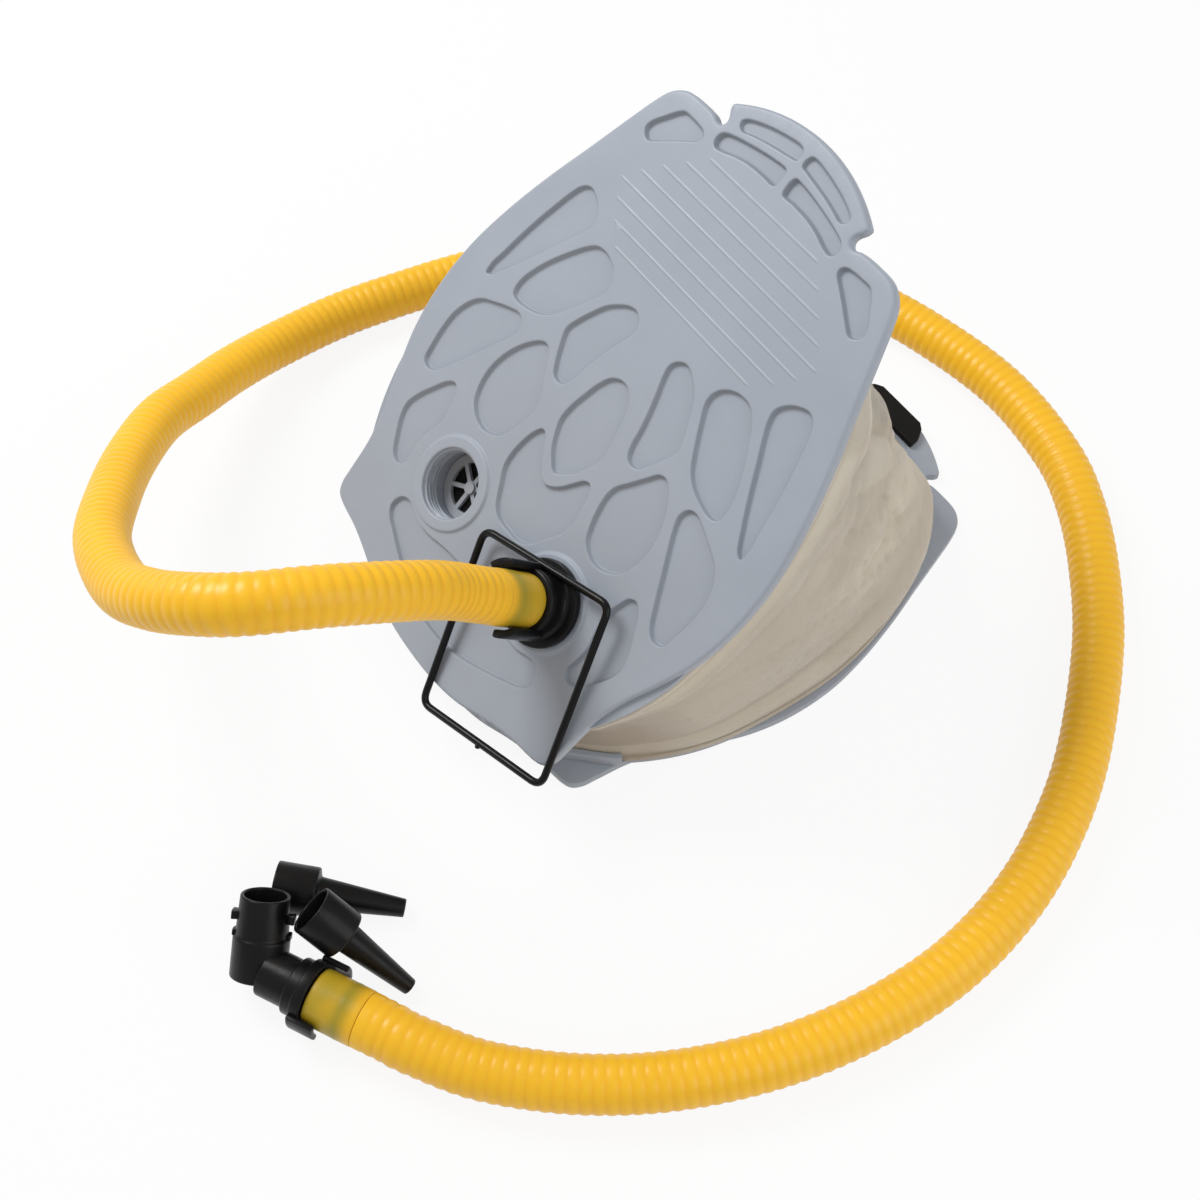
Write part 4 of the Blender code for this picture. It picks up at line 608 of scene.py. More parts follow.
def eased(profile, radius, steps=3):
    """An open profile with its corners rounded, apart from its two ends."""
    pts = [Vector(p) for p in profile]
    out = [tuple(pts[0])]
    for before, corner, after in zip(pts, pts[1:], pts[2:]):
        out += corner_arc(corner, before - corner, after - corner, radius, steps)
    return out + [tuple(pts[-1])]


def lathe(profile, steps, radius=0.0005):
    """A profile of (radius, height) points turned round Z, closed on the axis or on itself."""
    ring = profile[0][0] > 1e-7
    if ring:
        middle = ((profile[0][0] + profile[-1][0]) / 2, (profile[0][1] + profile[-1][1]) / 2)
        profile = [middle] + list(profile) + [middle]
    profile = eased(profile, radius)
    if ring:
        profile = profile[:-1]
    bm = bmesh.new()
    rows = []
    for r, height in profile:
        if r < 1e-7:
            rows.append([bm.verts.new((0, 0, height))])
            continue
        angles = [2 * math.pi * k / steps for k in range(steps)]
        rows.append([bm.verts.new((r * math.cos(a), r * math.sin(a), height)) for a in angles])
    for first, second in zip(rows, rows[1:] + rows[:1] if ring else rows[1:]):
        if len(first) > 1 and len(second) > 1:
            bridge(bm, first, second)
            continue
        for k in range(steps):
            n = (k + 1) % steps
            if len(first) == 1:
                bm.faces.new((first[0], second[n], second[k]))
            else:
                bm.faces.new((first[k], first[n], second[0]))
    return mesh_of(bm, "lathe")


def prism(outline, low, high, edge, segments=3):
    """A solid with the given outline between two heights, its edges rounded."""
    bm = bmesh.new()
    lower = [bm.verts.new((u, v, low)) for u, v in outline]
    upper = [bm.verts.new((u, v, high)) for u, v in outline]
    bridge(bm, lower, upper)
    bm.faces.new(list(reversed(lower)))
    bm.faces.new(upper)
    bmesh.ops.recalc_face_normals(bm, faces=bm.faces)
    sharp = [e for e in bm.edges if e.calc_face_angle(0) > math.radians(40)]
    bmesh.ops.bevel(bm, geom=sharp, offset=edge, segments=segments, profile=0.5,
                    affect="EDGES", clamp_overlap=True)
    return mesh_of(bm, "prism")


def sector(inner, outer, half_angle, low, high, turn, edge):
    """A block between two radii and two angles."""
    steps = 8
    arc = [turn - half_angle + 2 * half_angle * k / steps for k in range(steps + 1)]
    outline = [(outer * math.cos(a), outer * math.sin(a)) for a in arc]
    outline += [(inner * math.cos(a), inner * math.sin(a)) for a in reversed(arc)]
    return prism(outline, low, high, edge, 2)


def boolean(mesh, tool, operation):
    """A mesh united with another, or cut by it."""
    body = linked(bpy.data.objects.new("body", mesh))
    other = linked(bpy.data.objects.new("tool", tool))
    step = body.modifiers.new("step", "BOOLEAN")
    step.operation = operation
    step.solver = "EXACT"
    step.object = other
    graph = bpy.context.evaluated_depsgraph_get()
    result = bpy.data.meshes.new_from_object(body.evaluated_get(graph))
    bpy.data.objects.remove(body)
    bpy.data.objects.remove(other)
    return result


def fuse(mesh, *tools):
    for tool in tools:
        mesh = boolean(mesh, tool, "UNION")
    return mesh


def cut(mesh, *tools):
    for tool in tools:
        mesh = boolean(mesh, tool, "DIFFERENCE")
    return mesh


def joined(meshes):
    """Several closed bodies in one mesh."""
    bm = bmesh.new()
    for mesh in meshes:
        bm.from_mesh(mesh)
    return mesh_of(bm, "joined")


def along(point, direction):
    """A placement whose Z axis runs along a direction from a point."""
    turn = Vector((0, 0, 1)).rotation_difference(Vector(direction).normalized())
    return Matrix.Translation(point) @ turn.to_matrix().to_4x4()


def add(name, mesh, finish, angle=38):
    """A new piece in the frame's coordinates, smooth apart from its sharp edges."""
    mesh.name = name
    obj = linked(bpy.data.objects.new(name, mesh))
    mesh.materials.clear()
    for made in finish if isinstance(finish, (list, tuple)) else [finish]:
        mesh.materials.append(made)
    mesh.shade_smooth()
    if angle:
        mesh.set_sharp_from_angle(angle=math.radians(angle))
    return obj


def piece(name, mesh, finish, body, node, angle=38):
    """A new piece that rides on a body and takes the place of a CAD node."""
    obj = add(name, mesh, finish, angle)
    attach(obj, body)
    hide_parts(node)
    return obj


def tube_rings(path, radii, sides):
    """Rings of points round a path, without twist. radii has one radius for each point."""
    path = np.array(path, float)
    ways = np.gradient(path, axis=0)
    ways /= np.linalg.norm(ways, axis=1)[:, None]
    side = np.cross(ways[0], (0.0, 0.0, 1.0))
    side /= np.linalg.norm(side)
    angles = np.arange(sides) * 2 * math.pi / sides
    rings = []
    for place, way, radius in zip(path, ways, radii):
        side = side - way * (side @ way)
        side /= np.linalg.norm(side)
        other = np.cross(way, side)
        rings.append(place + radius * (np.cos(angles)[:, None] * side
                                       + np.sin(angles)[:, None] * other))
    return rings


# ---------------------------------------------------------------- materials
def new_node(tree, kind, inputs=None, **settings):
    """A node with its settings made, and its inputs set to values or linked to outputs."""
    made = tree.nodes.new(kind)
    for key, value in settings.items():
        setattr(made, key, value)
    for key, value in (inputs or {}).items():
        if isinstance(value, bpy.types.NodeSocket):
            tree.links.new(value, made.inputs[key])
        else:
            made.inputs[key].default_value = value
    return made


def shaded(colour, factor):
    """The colour times a number, or times one number for each channel."""
    factors = factor if isinstance(factor, tuple) else (factor,) * 3
    return tuple(min(1.0, c * f) for c, f in zip(colour, factors))


class Nodes:
    """A node material with one Principled shader."""

    def __init__(self, name, colour, roughness, metallic=0.0):
        self.material = bpy.data.materials.new(name)
        self.material.use_nodes = True
        self.tree = self.material.node_tree
        self.shader = self.tree.nodes["Principled BSDF"]
        self.set("Base Color", (*colour, 1.0))
        self.set("Roughness", roughness)
        self.set("Metallic", metallic)
        self.place = self.node("ShaderNodeTexCoord").outputs["Object"]

    def set(self, name, value):
        self.shader.inputs[name].default_value = value

    def node(self, kind, inputs=None, **settings):
        return new_node(self.tree, kind, inputs, **settings)

    def link(self, output, to):
        self.tree.links.new(output, to)

    def noise(self, scale, detail=3.0, rough=0.55, distortion=0.0, source=None):
        made = self.node("ShaderNodeTexNoise",
                         {"Scale": scale, "Detail": detail, "Roughness": rough,
                          "Distortion": distortion, "Vector": source or self.place})
        return made.outputs["Fac"]

    def stretched(self, scale):
        """The place coordinates, scaled by axis."""
        made = self.node("ShaderNodeMapping", {"Scale": scale, "Vector": self.place})
        return made.outputs["Vector"]

    def ramp(self, value, low, high, out_low=0.0, out_high=1.0):
        """A value's span from low to high, stretched over another span."""
        made = self.node("ShaderNodeMapRange",
                         {"Value": value, "From Min": low, "From Max": high,
                          "To Min": out_low, "To Max": out_high}, clamp=True)
        return made.outputs["Result"]

    def product(self, first, second):
        made = self.node("ShaderNodeMath", {0: first, 1: second}, operation="MULTIPLY")
        return made.outputs["Value"]

    def mix(self, factor, first, second):
        """A colour mixed from two; each is a colour or an output."""
        made = self.node("ShaderNodeMix", data_type="RGBA")
        self.link(factor, made.inputs["Factor"])
        for name, value in (("A", first), ("B", second)):
            slot = next(s for s in made.inputs if s.name == name and s.type == "RGBA")
            if isinstance(value, tuple):
                slot.default_value = (*value, 1.0)
            else:
                self.link(value, slot)
        return next(s for s in made.outputs if s.type == "RGBA")

    def colour(self, output):
        self.link(output, self.shader.inputs["Base Color"])

    def clouded(self, colour, grain, span, dark, light):
        """The colour drifting between two tones of itself."""
        cloud = self.ramp(self.noise(*grain), *span)
        return self.mix(cloud, shaded(colour, dark), shaded(colour, light))

    def roughness(self, grain, span, smoothest, roughest):
        """A roughness that drifts between two values."""
        drift = self.ramp(self.noise(*grain), *span, smoothest, roughest)
        self.link(drift, self.shader.inputs["Roughness"])

    def bump(self, layers):
        """Bump from (height output, distance in metres) layers."""
        before = {}
        for height, distance in layers:
            made = self.node("ShaderNodeBump", {"Strength": 1.0, "Distance": distance,
                                                "Height": height, **before})
            before = {"Normal": made.outputs["Normal"]}
        self.link(before["Normal"], self.shader.inputs["Normal"])

    def bands(self, way, scale, **inputs):
        """Even stripes across one way of the fabric's own coordinates."""
        uv = self.node("ShaderNodeTexCoord").outputs["UV"]
        made = self.node("ShaderNodeTexWave", {"Scale": scale, "Vector": uv, **inputs},
                         wave_type="BANDS", bands_direction=way)
        return made.outputs["Fac"]

    def attribute(self, name):
        made = self.node("ShaderNodeAttribute", attribute_name=name)
        return made.outputs["Fac"]


def moulded_plastic(name, colour, roughness=0.44):
    """Satin moulded plastic with faint flow marks, grain, fine scuffs and painted shade at the foot of each
    hollow's wall.
    """
    m = Nodes(name, colour, roughness)
    tone = m.clouded(colour, (14.0, 4.0, 0.6), (0.3, 0.7), 0.965, 1.03)
    flow = m.noise(1.0, 3.0, 0.5, 0.4, m.stretched((10.0, 60.0, 30.0)))
    tone = m.mix(m.ramp(flow, 0.55, 0.85, 0.0, 0.35), tone, shaded(colour, 1.08))
    scuff = m.noise(1.0, 2.0, 0.7, 0.2, m.stretched((900.0, 70.0, 300.0)))
    marks = m.product(m.ramp(scuff, 0.66, 0.74), m.ramp(m.noise(28.0, 2.0), 0.52, 0.66))
    tone = m.mix(m.product(marks, 0.35), tone, shaded(colour, 1.25))
    # painted shade: the colour darkens towards the foot of each hollow's wall
    m.colour(m.mix(m.product(m.attribute("wall_foot_shade"), 0.45), tone, shaded(colour, 0.55)))
    m.roughness((120.0, 3.0), (0.2, 0.8), roughness - 0.06, roughness + 0.08)
    m.bump([(m.noise(38.0, 2.0), 0.00025), (m.noise(2200.0, 2.0), 0.000018), (marks, 0.00001)])
    return m.material


def coated_fabric(name, colour):
    """Coated cloth: the weave shows faintly through the coat, with painted shade by the hinge and in its
    creases, and painted light on its upturned strip and crumpled patches.
    """
    m = Nodes(name, colour, 0.5)
    tone = m.clouded(colour, (9.0, 4.0, 0.6, 0.5), (0.32, 0.7), 0.94, 1.05)
    blotch = m.product(m.ramp(m.noise(26.0, 5.0, 0.65, 1.2), 0.50, 0.72),
                       m.ramp(m.noise(7.0, 2.0), 0.40, 0.62))
    # shade paints shade by the hinge; pale paints light on the lit strip and patches beside the pale top
    # band's own colour; the crease mark paints shade in creases beside the dark seam line
    for share, factors in ((m.ramp(m.noise(30.0, 3.0, 0.6), 0.55, 0.8, 0.0, 0.45),
                            (0.93, 0.90, 0.86)),
                           (m.attribute("shade"), (0.55, 0.44, 0.33)),
                           (m.product(m.attribute("pale"), 0.80), (1.22, 1.23, 1.22)),
                           (m.product(blotch, 0.40), (0.80, 0.74, 0.66)),
                           (m.product(m.attribute("seam_and_crease_shade"), 0.55), (0.62, 0.58, 0.52))):
        tone = m.mix(share, tone, shaded(colour, factors))
    m.colour(tone)
    cloth = m.product(*(m.bands(way, 260.0, Distortion=0.6, Detail=1.0) for way in ("X", "Y")))
    m.bump([(m.noise(60.0, 3.0, 0.6, 0.4), 0.0004), (cloth, 0.00007)])
    m.roughness((50.0, 3.0), (0.25, 0.75), 0.42, 0.6)
    m.set("Sheen Weight", 0.15)
    m.set("Sheen Roughness", 0.5)
    return m.material


def piping(name, colour):
    """The pale welded strip along the fabric's edges."""
    m = Nodes(name, colour, 0.45)
    tone = m.clouded(colour, (20.0, 3.0), (0.3, 0.7), 0.93, 1.05)
    # darker along the seam line, a dark joint, and under any painted crease shade
    m.colour(m.mix(m.attribute("seam_and_crease_shade"), tone, shaded(colour, 0.6)))
    m.bump([(m.bands("X", 150.0), 0.00010), (m.noise(300.0, 2.0), 0.00005)])
    m.roughness((80.0,), (0.3, 0.7), 0.38, 0.55)
    return m.material


def soft_vinyl(name, colour, deep, share=0.60, translucence=0.12):
    """Flexible vinyl that mixes in its deep colour by the valley mark: painted shade between a hose's ribs,
    a cuff's own tint; with a soft gloss.
    """
    m = Nodes(name, colour, 0.38)
    tone = m.clouded(colour, (22.0, 4.0, 0.6), (0.3, 0.7), 0.96, 1.03)
    # painted shade between the hose's ribs; on the cuffs the same mark is their own darker tint
    tone = m.mix(m.product(m.attribute("valley"), share), tone, deep)
    streak = m.noise(60.0, 2.0, 0.5)
    m.colour(m.mix(m.ramp(streak, 0.6, 0.8, 0.0, 0.25), tone, shaded(deep, 1.15)))
    m.bump([(m.noise(90.0, 3.0), 0.00015), (m.noise(900.0, 2.0), 0.00002)])
    m.roughness((70.0, 3.0), (0.25, 0.75), 0.30, 0.46)
    m.set("Specular IOR Level", 0.38)
    m.set("Subsurface Weight", translucence)
    m.set("Subsurface Radius", (0.006, 0.003, 0.001))
    m.set("Subsurface Scale", 1.0)
    return m.material


def black_plastic(name, colour, roughness):
    """Black moulding with a faint grain and greyer rubbed patches."""
    m = Nodes(name, colour, roughness)
    rubbed = m.ramp(m.noise(65.0, 4.0, 0.65), 0.52, 0.8, 0.0, 0.6)
    m.colour(m.mix(rubbed, colour, shaded(colour, 1.8)))
    m.bump([(m.noise(110.0, 3.0), 0.00012), (m.noise(1800.0, 2.0), 0.00002)])
    m.roughness((90.0, 3.0), (0.25, 0.75), roughness - 0.07, roughness + 0.12)
    m.set("Specular IOR Level", 0.20)
    return m.material


def plain_steel(name, colour):
    """Drawn steel, with fine lines along one axis."""
    m = Nodes(name, colour, 0.32, 1.0)
    drawn = m.noise(1.0, 3.0, 0.6, 0.0, m.stretched((2200.0, 60.0, 2200.0)))
    m.colour(m.mix(m.ramp(drawn, 0.3, 0.7), shaded(colour, 0.85), shaded(colour, 1.08)))
    m.roughness((200.0, 3.0), (0.25, 0.75), 0.24, 0.42)
    m.bump([(drawn, 0.00001)])
    return m.material


PLATE_BLUE_GREY = (0.338, 0.372, 0.428)
PORT_GREY = (0.39, 0.415, 0.455)
FABRIC_BEIGE = (0.495, 0.448, 0.370)
PIPING_BEIGE = (0.62, 0.575, 0.47)
HOSE_YELLOW = (0.98, 0.53, 0.018)
# the hose's painted shade between its ribs, and its streaks
HOSE_DEEP = (0.94, 0.46, 0.012)
CUFF_YELLOW = (0.90, 0.49, 0.016)
CUFF_OLIVE = (0.15, 0.19, 0.020)
PLASTIC_BLACK = (0.006, 0.006, 0.0065)
RUBBER_BLACK = (0.004, 0.0038, 0.0035)
STEEL_GREY = (0.58, 0.58, 0.59)

PLATE = moulded_plastic("plate_plastic", PLATE_BLUE_GREY)
INNER = moulded_plastic("inner_plastic", PORT_GREY, 0.5)
FABRIC = coated_fabric("coated_fabric", FABRIC_BEIGE)
PIPING = piping("fabric_piping", PIPING_BEIGE)
YELLOW = soft_vinyl("yellow_vinyl", HOSE_YELLOW, HOSE_DEEP)
OLIVE = soft_vinyl("olive_vinyl", CUFF_YELLOW, CUFF_OLIVE, 1.0, 0.05)
BLACK = black_plastic("black_plastic", PLASTIC_BLACK, 0.30)
RUBBER = black_plastic("black_rubber", RUBBER_BLACK, 0.62)
WIRE = black_plastic("black_wire", PLASTIC_BLACK, 0.24)
STEEL = plain_steel("steel", STEEL_GREY)


# ---------------------------------------------------------------- plates
def outer_height(points, hollows, with_ports):
    """Height of a plate's outer face at points of it."""
    w = np.full(len(points), HALF)
    for line, depth, wall in hollows:
        near = near_line(points, line)
        if len(near):
            shoulder = SHOULDER * wall / WALL_RUN
            inside = inside_distance(points[near], line)
            w[near] -= depth * step_up((inside + shoulder) / (shoulder + wall))
    if with_ports:
        for v in (PORT_V, -PORT_V):
            away = np.hypot(points[:, 0] - PORT_U, points[:, 1] - v)
            raised = step_up((PORT_RING_RADIUS + 0.0002 - away) / 0.0010)
            w = w * (1 - raised) + (HALF + PORT_RING_HEIGHT) * raised
        for k, half in enumerate(RIB_HALF_LENGTHS):
            across = np.abs(points[:, 0] - RIB_FIRST_U - k * RIB_PITCH)
            crown = step_up((RIB_WIDTH * 0.7 - across) / (RIB_WIDTH * 0.6))
            ends = step_up((half - np.abs(points[:, 1])) / 0.002)
            w += RIB_HEIGHT * crown * ends
    return w


def face_points(edge, hollows, with_ports):
    """Where a plate's outer face needs points: round each hollow, along the ribs and on a grid."""
    made = []
    for line, _, _ in hollows:
        made += [offset(line, distance) for distance in HOLLOW_OFFSETS]
    if with_ports:
        for v in (PORT_V, -PORT_V):
            made += [circle(PORT_U, v, radius, PORT_SIDES) for radius in PORT_CIRCLES]
        for k, half in enumerate(RIB_HALF_LENGTHS):
            u = RIB_FIRST_U + k * RIB_PITCH
            along_rib = np.concatenate([np.arange(-half + 0.003, half - 0.003, 0.004),
                                        [half - 0.002, half - 0.001, half, half + 0.0008],
                                        [-half + 0.002, -half + 0.001, -half, -half - 0.0008]])
            for across in RIB_ACROSS:
                made.append(np.stack([np.full(len(along_rib), u + across), along_rib], axis=1))
    dense = np.vstack(made)
    taken = {tuple(c) for c in np.round(dense / GRID_CELL).astype(int)}
    grid = []
    start_u, start_v = GRID_START
    for i, u in enumerate(np.arange(start_u, PLATE_LENGTH, GRID_STEP * 0.866)):
        for v in np.arange(start_v + (i % 2) * GRID_STEP / 2, -start_v, GRID_STEP):
            a, b = round(u / GRID_CELL), round(v / GRID_CELL)
            if not any((a + x, b + y) in taken for x in (-1, 0, 1) for y in (-1, 0, 1)):
                grid.append((u, v))
    dense = np.vstack([dense, np.array(grid)])
    dense = dense[inside_distance(dense, edge) > 0.0008]
    if with_ports:
        for v in (PORT_V, -PORT_V):
            dense = dense[np.hypot(dense[:, 0] - PORT_U, dense[:, 1] - v) > PORT_RADIUS + 0.0011]
    return dense


def port_bore(skin, v, top, panel_hole, threaded):
    """The bore of a port, from its top loop down to the ledge and back up outside its boss."""
    count = len(top)
    angles = np.arange(count) * 2 * math.pi / count
    loops = [top]
    crown = HALF + PORT_RING_HEIGHT
    for r, w in ((0.00035, -0.00012), (0.00010, -0.0004), (0.0, -0.0009)):
        loops.append(skin.level(circle(PORT_U, v, PORT_RADIUS + r, count), crown + w))
    for w in np.arange(crown - 0.0013, LEDGE_TOP_W, -0.00042):
        phase = ((THREAD_RUN[0] - w) / THREAD_PITCH - angles / (2 * math.pi)) % 1.0
        ridge = step_up((0.30 - np.abs(phase - 0.5)) / 0.16)
        fade = step_up((THREAD_RUN[0] - w) / 0.001) * step_up((w - THREAD_RUN[1]) / 0.001)
        radius = PORT_RADIUS - (THREAD_DEPTH if threaded else 0.0) * ridge * fade
        loops.append(skin.loop(np.stack([PORT_U + radius * np.cos(angles),
                                         v + radius * np.sin(angles), np.full(count, w)], axis=1)))
    for r, w in ((PORT_RADIUS, LEDGE_TOP_W), (LEDGE_RADIUS, LEDGE_TOP_W),
                 (LEDGE_RADIUS, PORT_BOTTOM_W), (PORT_BOSS_RADIUS, PORT_BOTTOM_W)):
        loops.append(skin.level(circle(PORT_U, v, r, count), w))
    skin.strips(loops + [panel_hole])


def knuckle_meshes(spans, sign):
    """Hinge barrels with webs into the plate's rim."""
    out = []
    for centre, width in spans:
        barrel = lathe([(PIN_RADIUS, -width / 2), (KNUCKLE_RADIUS, -width / 2),
                        (KNUCKLE_RADIUS, width / 2), (PIN_RADIUS, width / 2)], 40)
        barrel = moved(barrel, Matrix.Translation((0, centre, 0))
                       @ Matrix.Rotation(math.radians(-90), 4, "X"))
        reach = KNUCKLE_RADIUS - GAP
        web = prism([(-reach, centre - width / 2), (reach, centre - width / 2),
                     (reach, centre + width / 2), (-reach, centre + width / 2)],
                    0.0030, RIM_W + 0.0002, 0.0006)
        if sign < 0:
            barrel = moved(barrel, Matrix.Scale(-1, 4, (0, 0, 1)))
        out += [barrel, web]
    return out


def wall_mesh(line, end_u):
    """The raised wall round the narrow end of the bellows."""
    inner = offset(line, -0.0001)
    outer = offset(line, -GAP - WALL_THICKNESS)
    keep = [i for i, (u, v) in enumerate(line) if u < end_u]
    split = next(k for k in range(1, len(keep)) if keep[k] != keep[k - 1] + 1)
    order = keep[split:] + keep[:split]
    outline = [tuple(outer[i]) for i in order] + [tuple(inner[i]) for i in reversed(order)]
    return prism(outline, WALL_TOP_W, RIM_W + 0.0004, 0.0005, 2)


def with_wall_foot_shade(mesh, hollows):
    """Mark how close each point of the outer face is to the foot of a hollow's wall, where its colour gets
    painted shade.
    """
    count = len(mesh.vertices)
    places = np.empty(count * 3)
    mesh.vertices.foreach_get("co", places)
    places = places.reshape(-1, 3)
    wall_foot_shade = np.zeros(count)
    face = np.flatnonzero(places[:, 2] > HALF - 0.0030)
    flat = places[face, :2]
    for line, _, _ in hollows:
        near = near_line(flat, line)
        if len(near):
            at = face[near]
            foot = np.exp(-((inside_distance(flat[near], line) - 0.0005) / 0.0007) ** 2)
            wall_foot_shade[at] = np.maximum(wall_foot_shade[at], foot)
    mesh.attributes.new("wall_foot_shade", "FLOAT", "POINT").data.foreach_set("value", wall_foot_shade)
    return mesh


def plate_mesh(name, placement, with_ports, spans):
    """A plate: rounded edge, modelled outer face, cavity for the fabric, wall and hinge barrels."""
    outline = traced(mirrored(plate_half()))
    line = traced(mirrored(bellows_half()), LINE_STEP)
    hollows = wells(with_ports)
    skin = Skin()
    foot = [skin.level(offset(outline, e), w)
            for e, w in ((0.0006, RIM_W), (0.00018, RIM_W + 0.00018), (0.0, RIM_W + 0.0006))]
    turns = [math.radians(a) for a in (0, 15, 30, 45, 60, 75, 90)]
    shoulder = [skin.level(offset(outline, EDGE_ROUND * (1 - math.cos(a))),
                           HALF - EDGE_ROUND * (1 - math.sin(a))) for a in turns]
    skin.strips(foot + shoulder)
    ports = (PORT_V, -PORT_V) if with_ports else ()
    tops = [skin.level(circle(PORT_U, v, PORT_RADIUS + 0.0008, PORT_SIDES),
                       HALF + PORT_RING_HEIGHT) for v in ports]
    edge = [skin.points[i][:2] for i in shoulder[-1]]

    def lifted(points):
        w = outer_height(points, hollows, with_ports)
        bow = [noise.noise(Vector((u * 34.0, v * 34.0, 3.1))) for u, v in points]
        near_edge = step_up(inside_distance(points, edge) / 0.006)
        return w + 0.00016 * np.array(bow) * near_edge

    skin.fill(shoulder[-1], tops, face_points(edge, hollows, with_ports), lifted)
    mouth = skin.level(offset(line, -GAP), RIM_W)
    roof = skin.level(offset(line, -GAP), PANEL_W)
    skin.strip(mouth, roof)
    skin.fill(foot[0], [mouth], [], lambda points: np.full(len(points), RIM_W))
    holes = [skin.level(circle(PORT_U, v, PORT_BOSS_RADIUS, PORT_SIDES), PANEL_W) for v in ports]
    skin.fill(roof, holes, [], lambda points: np.full(len(points), PANEL_W))
    for v, top, hole in zip(ports, tops, holes):
        port_bore(skin, v, top, hole, threaded=v > 0)
    parts = [skin.mesh(name), wall_mesh(line, LID_WALL_END_U if with_ports else WALL_END_U),
             *knuckle_meshes(spans, 1 if with_ports else -1)]
    return moved(with_wall_foot_shade(joined(parts), hollows), placement)


def add_plates():
    piece("lid_plate", plate_mesh("lid_plate", LID, True, LID_KNUCKLES), PLATE,
          "lid", "top_plate")
    piece("base_plate", plate_mesh("base_plate", BASE, False, BASE_KNUCKLES), PLATE,
          "base", "bottom_plate")


# ---------------------------------------------------------------- bellows and spring
def swung(u, w, angle):
    """Plate coordinates turned about the hinge pin, as the frame's x and z."""
    x = HINGE.x + u * np.cos(angle) - w * np.sin(angle)
    z = HINGE.z + u * np.sin(angle) + w * np.cos(angle)
    return x, z


LOW_CREASE = 0.21
HIGH_CREASE = 0.80
PLEAT = 0.0020
BELLY = 0.0026
CORNER_BULGE = 0.0055
FOLD_DEPTH = 0.018
FOLD_HALF_WIDTH = 0.066
FABRIC_STEP = 0.0017
FABRIC_ROWS = 44


def ease(value):
    """step_up for one plain number, which is much faster."""
    t = min(1.0, max(0.0, value))
    return t * t * (3 - 2 * t)


def lobe(place, low, high):
    """A half wave between two places, 0 outside them."""
    t = (place - low) / (high - low)
    return math.sin(math.pi * t) if 0 < t < 1 else 0.0


def tip_share(place, u, v):
    """How much of the fabric belongs to the fold that sinks in at the tab end."""
    return ease((FOLD_HALF_WIDTH + 0.032 * place - abs(v)) / 0.045) * ease((u - 0.18) / 0.03)


def stand_out(place, u, v):
    """How far the taut fabric stands out from the straight line between the plates."""
    tip = tip_share(place, u, v)
    corner = ease((abs(v) - 0.030) / 0.035) * ease((u - 0.14) / 0.06)
    out = PLEAT * (lobe(place, 0.0, LOW_CREASE) + lobe(place, HIGH_CREASE, 1.0) * (1 - tip))
    out += BELLY * lobe(place, LOW_CREASE, HIGH_CREASE) * (1 - tip)
    out += CORNER_BULGE * corner * math.exp(-((place - 0.16) / 0.11) ** 2) * min(1.0, place / 0.06)
    return out - FOLD_DEPTH * tip * lobe(place ** 0.85, 0.0, 1.0)


def sharp_folds(place, run):
    """Thin sharp creases that wander across the fabric, 0 to 1."""
    first = 1.0 - abs(noise.noise(Vector((run * 15.0 - place * 5.0, place * 2.2, 9.4)))) * 6.0
    second = 1.0 - abs(noise.noise(Vector((run * 23.0 + place * 7.0, place * 3.5, 4.1)))) * 9.0
    return max(0.0, first) ** 2 + 0.7 * max(0.0, second) ** 2


def facet(place, run):
    """Crumpled fabric's flat patches: 1 on the edge between two, and a number of each patch's own that sets
    its painted light or shade.
    """
    gaps, middles = noise.voronoi(Vector((run * 30.0 - place * 3.0, place * 4.2, 1.3)))
    return max(0.0, 1.0 - (gaps[1] - gaps[0]) * 4.0), noise.noise(middles[0] * 2.7)


def loose_share(place, u):
    """Where the fabric hangs loose and crumples: high up near the tab end."""
    return ease((u - 0.140) / 0.075) * ease((place - 0.24) / 0.20)


def crumple(place, run, u, v):
    """Creases, dents and ripples of the soft fabric, in metres."""
    ends = math.sin(math.pi * place) ** 0.5
    wide = step_up((u - 0.06) / 0.14)
    loose = loose_share(place, u)
    folds = noise.noise(Vector((run * 17.0, place * 1.6, 0.7)))
    ripples = noise.noise(Vector((run * 42.0 + place * 6.0, place * 3.0, 5.2)))
    slack = noise.noise(Vector((run * 48.0 - place * 7.0, place * 5.5, 2.2)))
    dents = noise.noise(Vector((run * 95.0 + place * 11.0, place * 11.0, 7.7)))
    out = (0.0010 * folds + 0.0005 * ripples) * (0.4 + 0.6 * wide)
    out += loose * (0.0040 * slack + 0.0014 * dents - 0.0018 * facet(place, run)[0])
    return ends * (out - 0.0010 * sharp_folds(place, run) * (0.3 + 0.6 * wide + 1.8 * loose))


def bellows_rows():
    """Rows of the fabric from its hidden lower edge to its hidden upper one: (place, height, bead)."""
    bead = [(0.0, -SKIN_SEAT_W, 0.0), (0.0, -RIM_W - 0.0003, 0.0), (0.0, -RIM_W + 0.0001, 0.8),
            (0.0, -0.0118, 1.0), (0.0, -0.0105, 1.0), (0.0, -0.0093, 0.95), (0.0, -0.0087, 0.6),
            (0.0, -0.0085, 0.15)]
    places = [k / FABRIC_ROWS for k in range(1, FABRIC_ROWS)]
    free = [(place, SKIN_BEAD_W * (2 * place - 1), 0.0) for place in places]
    return bead + free + [(1.0, -w, b) for _, w, b in reversed(bead)]


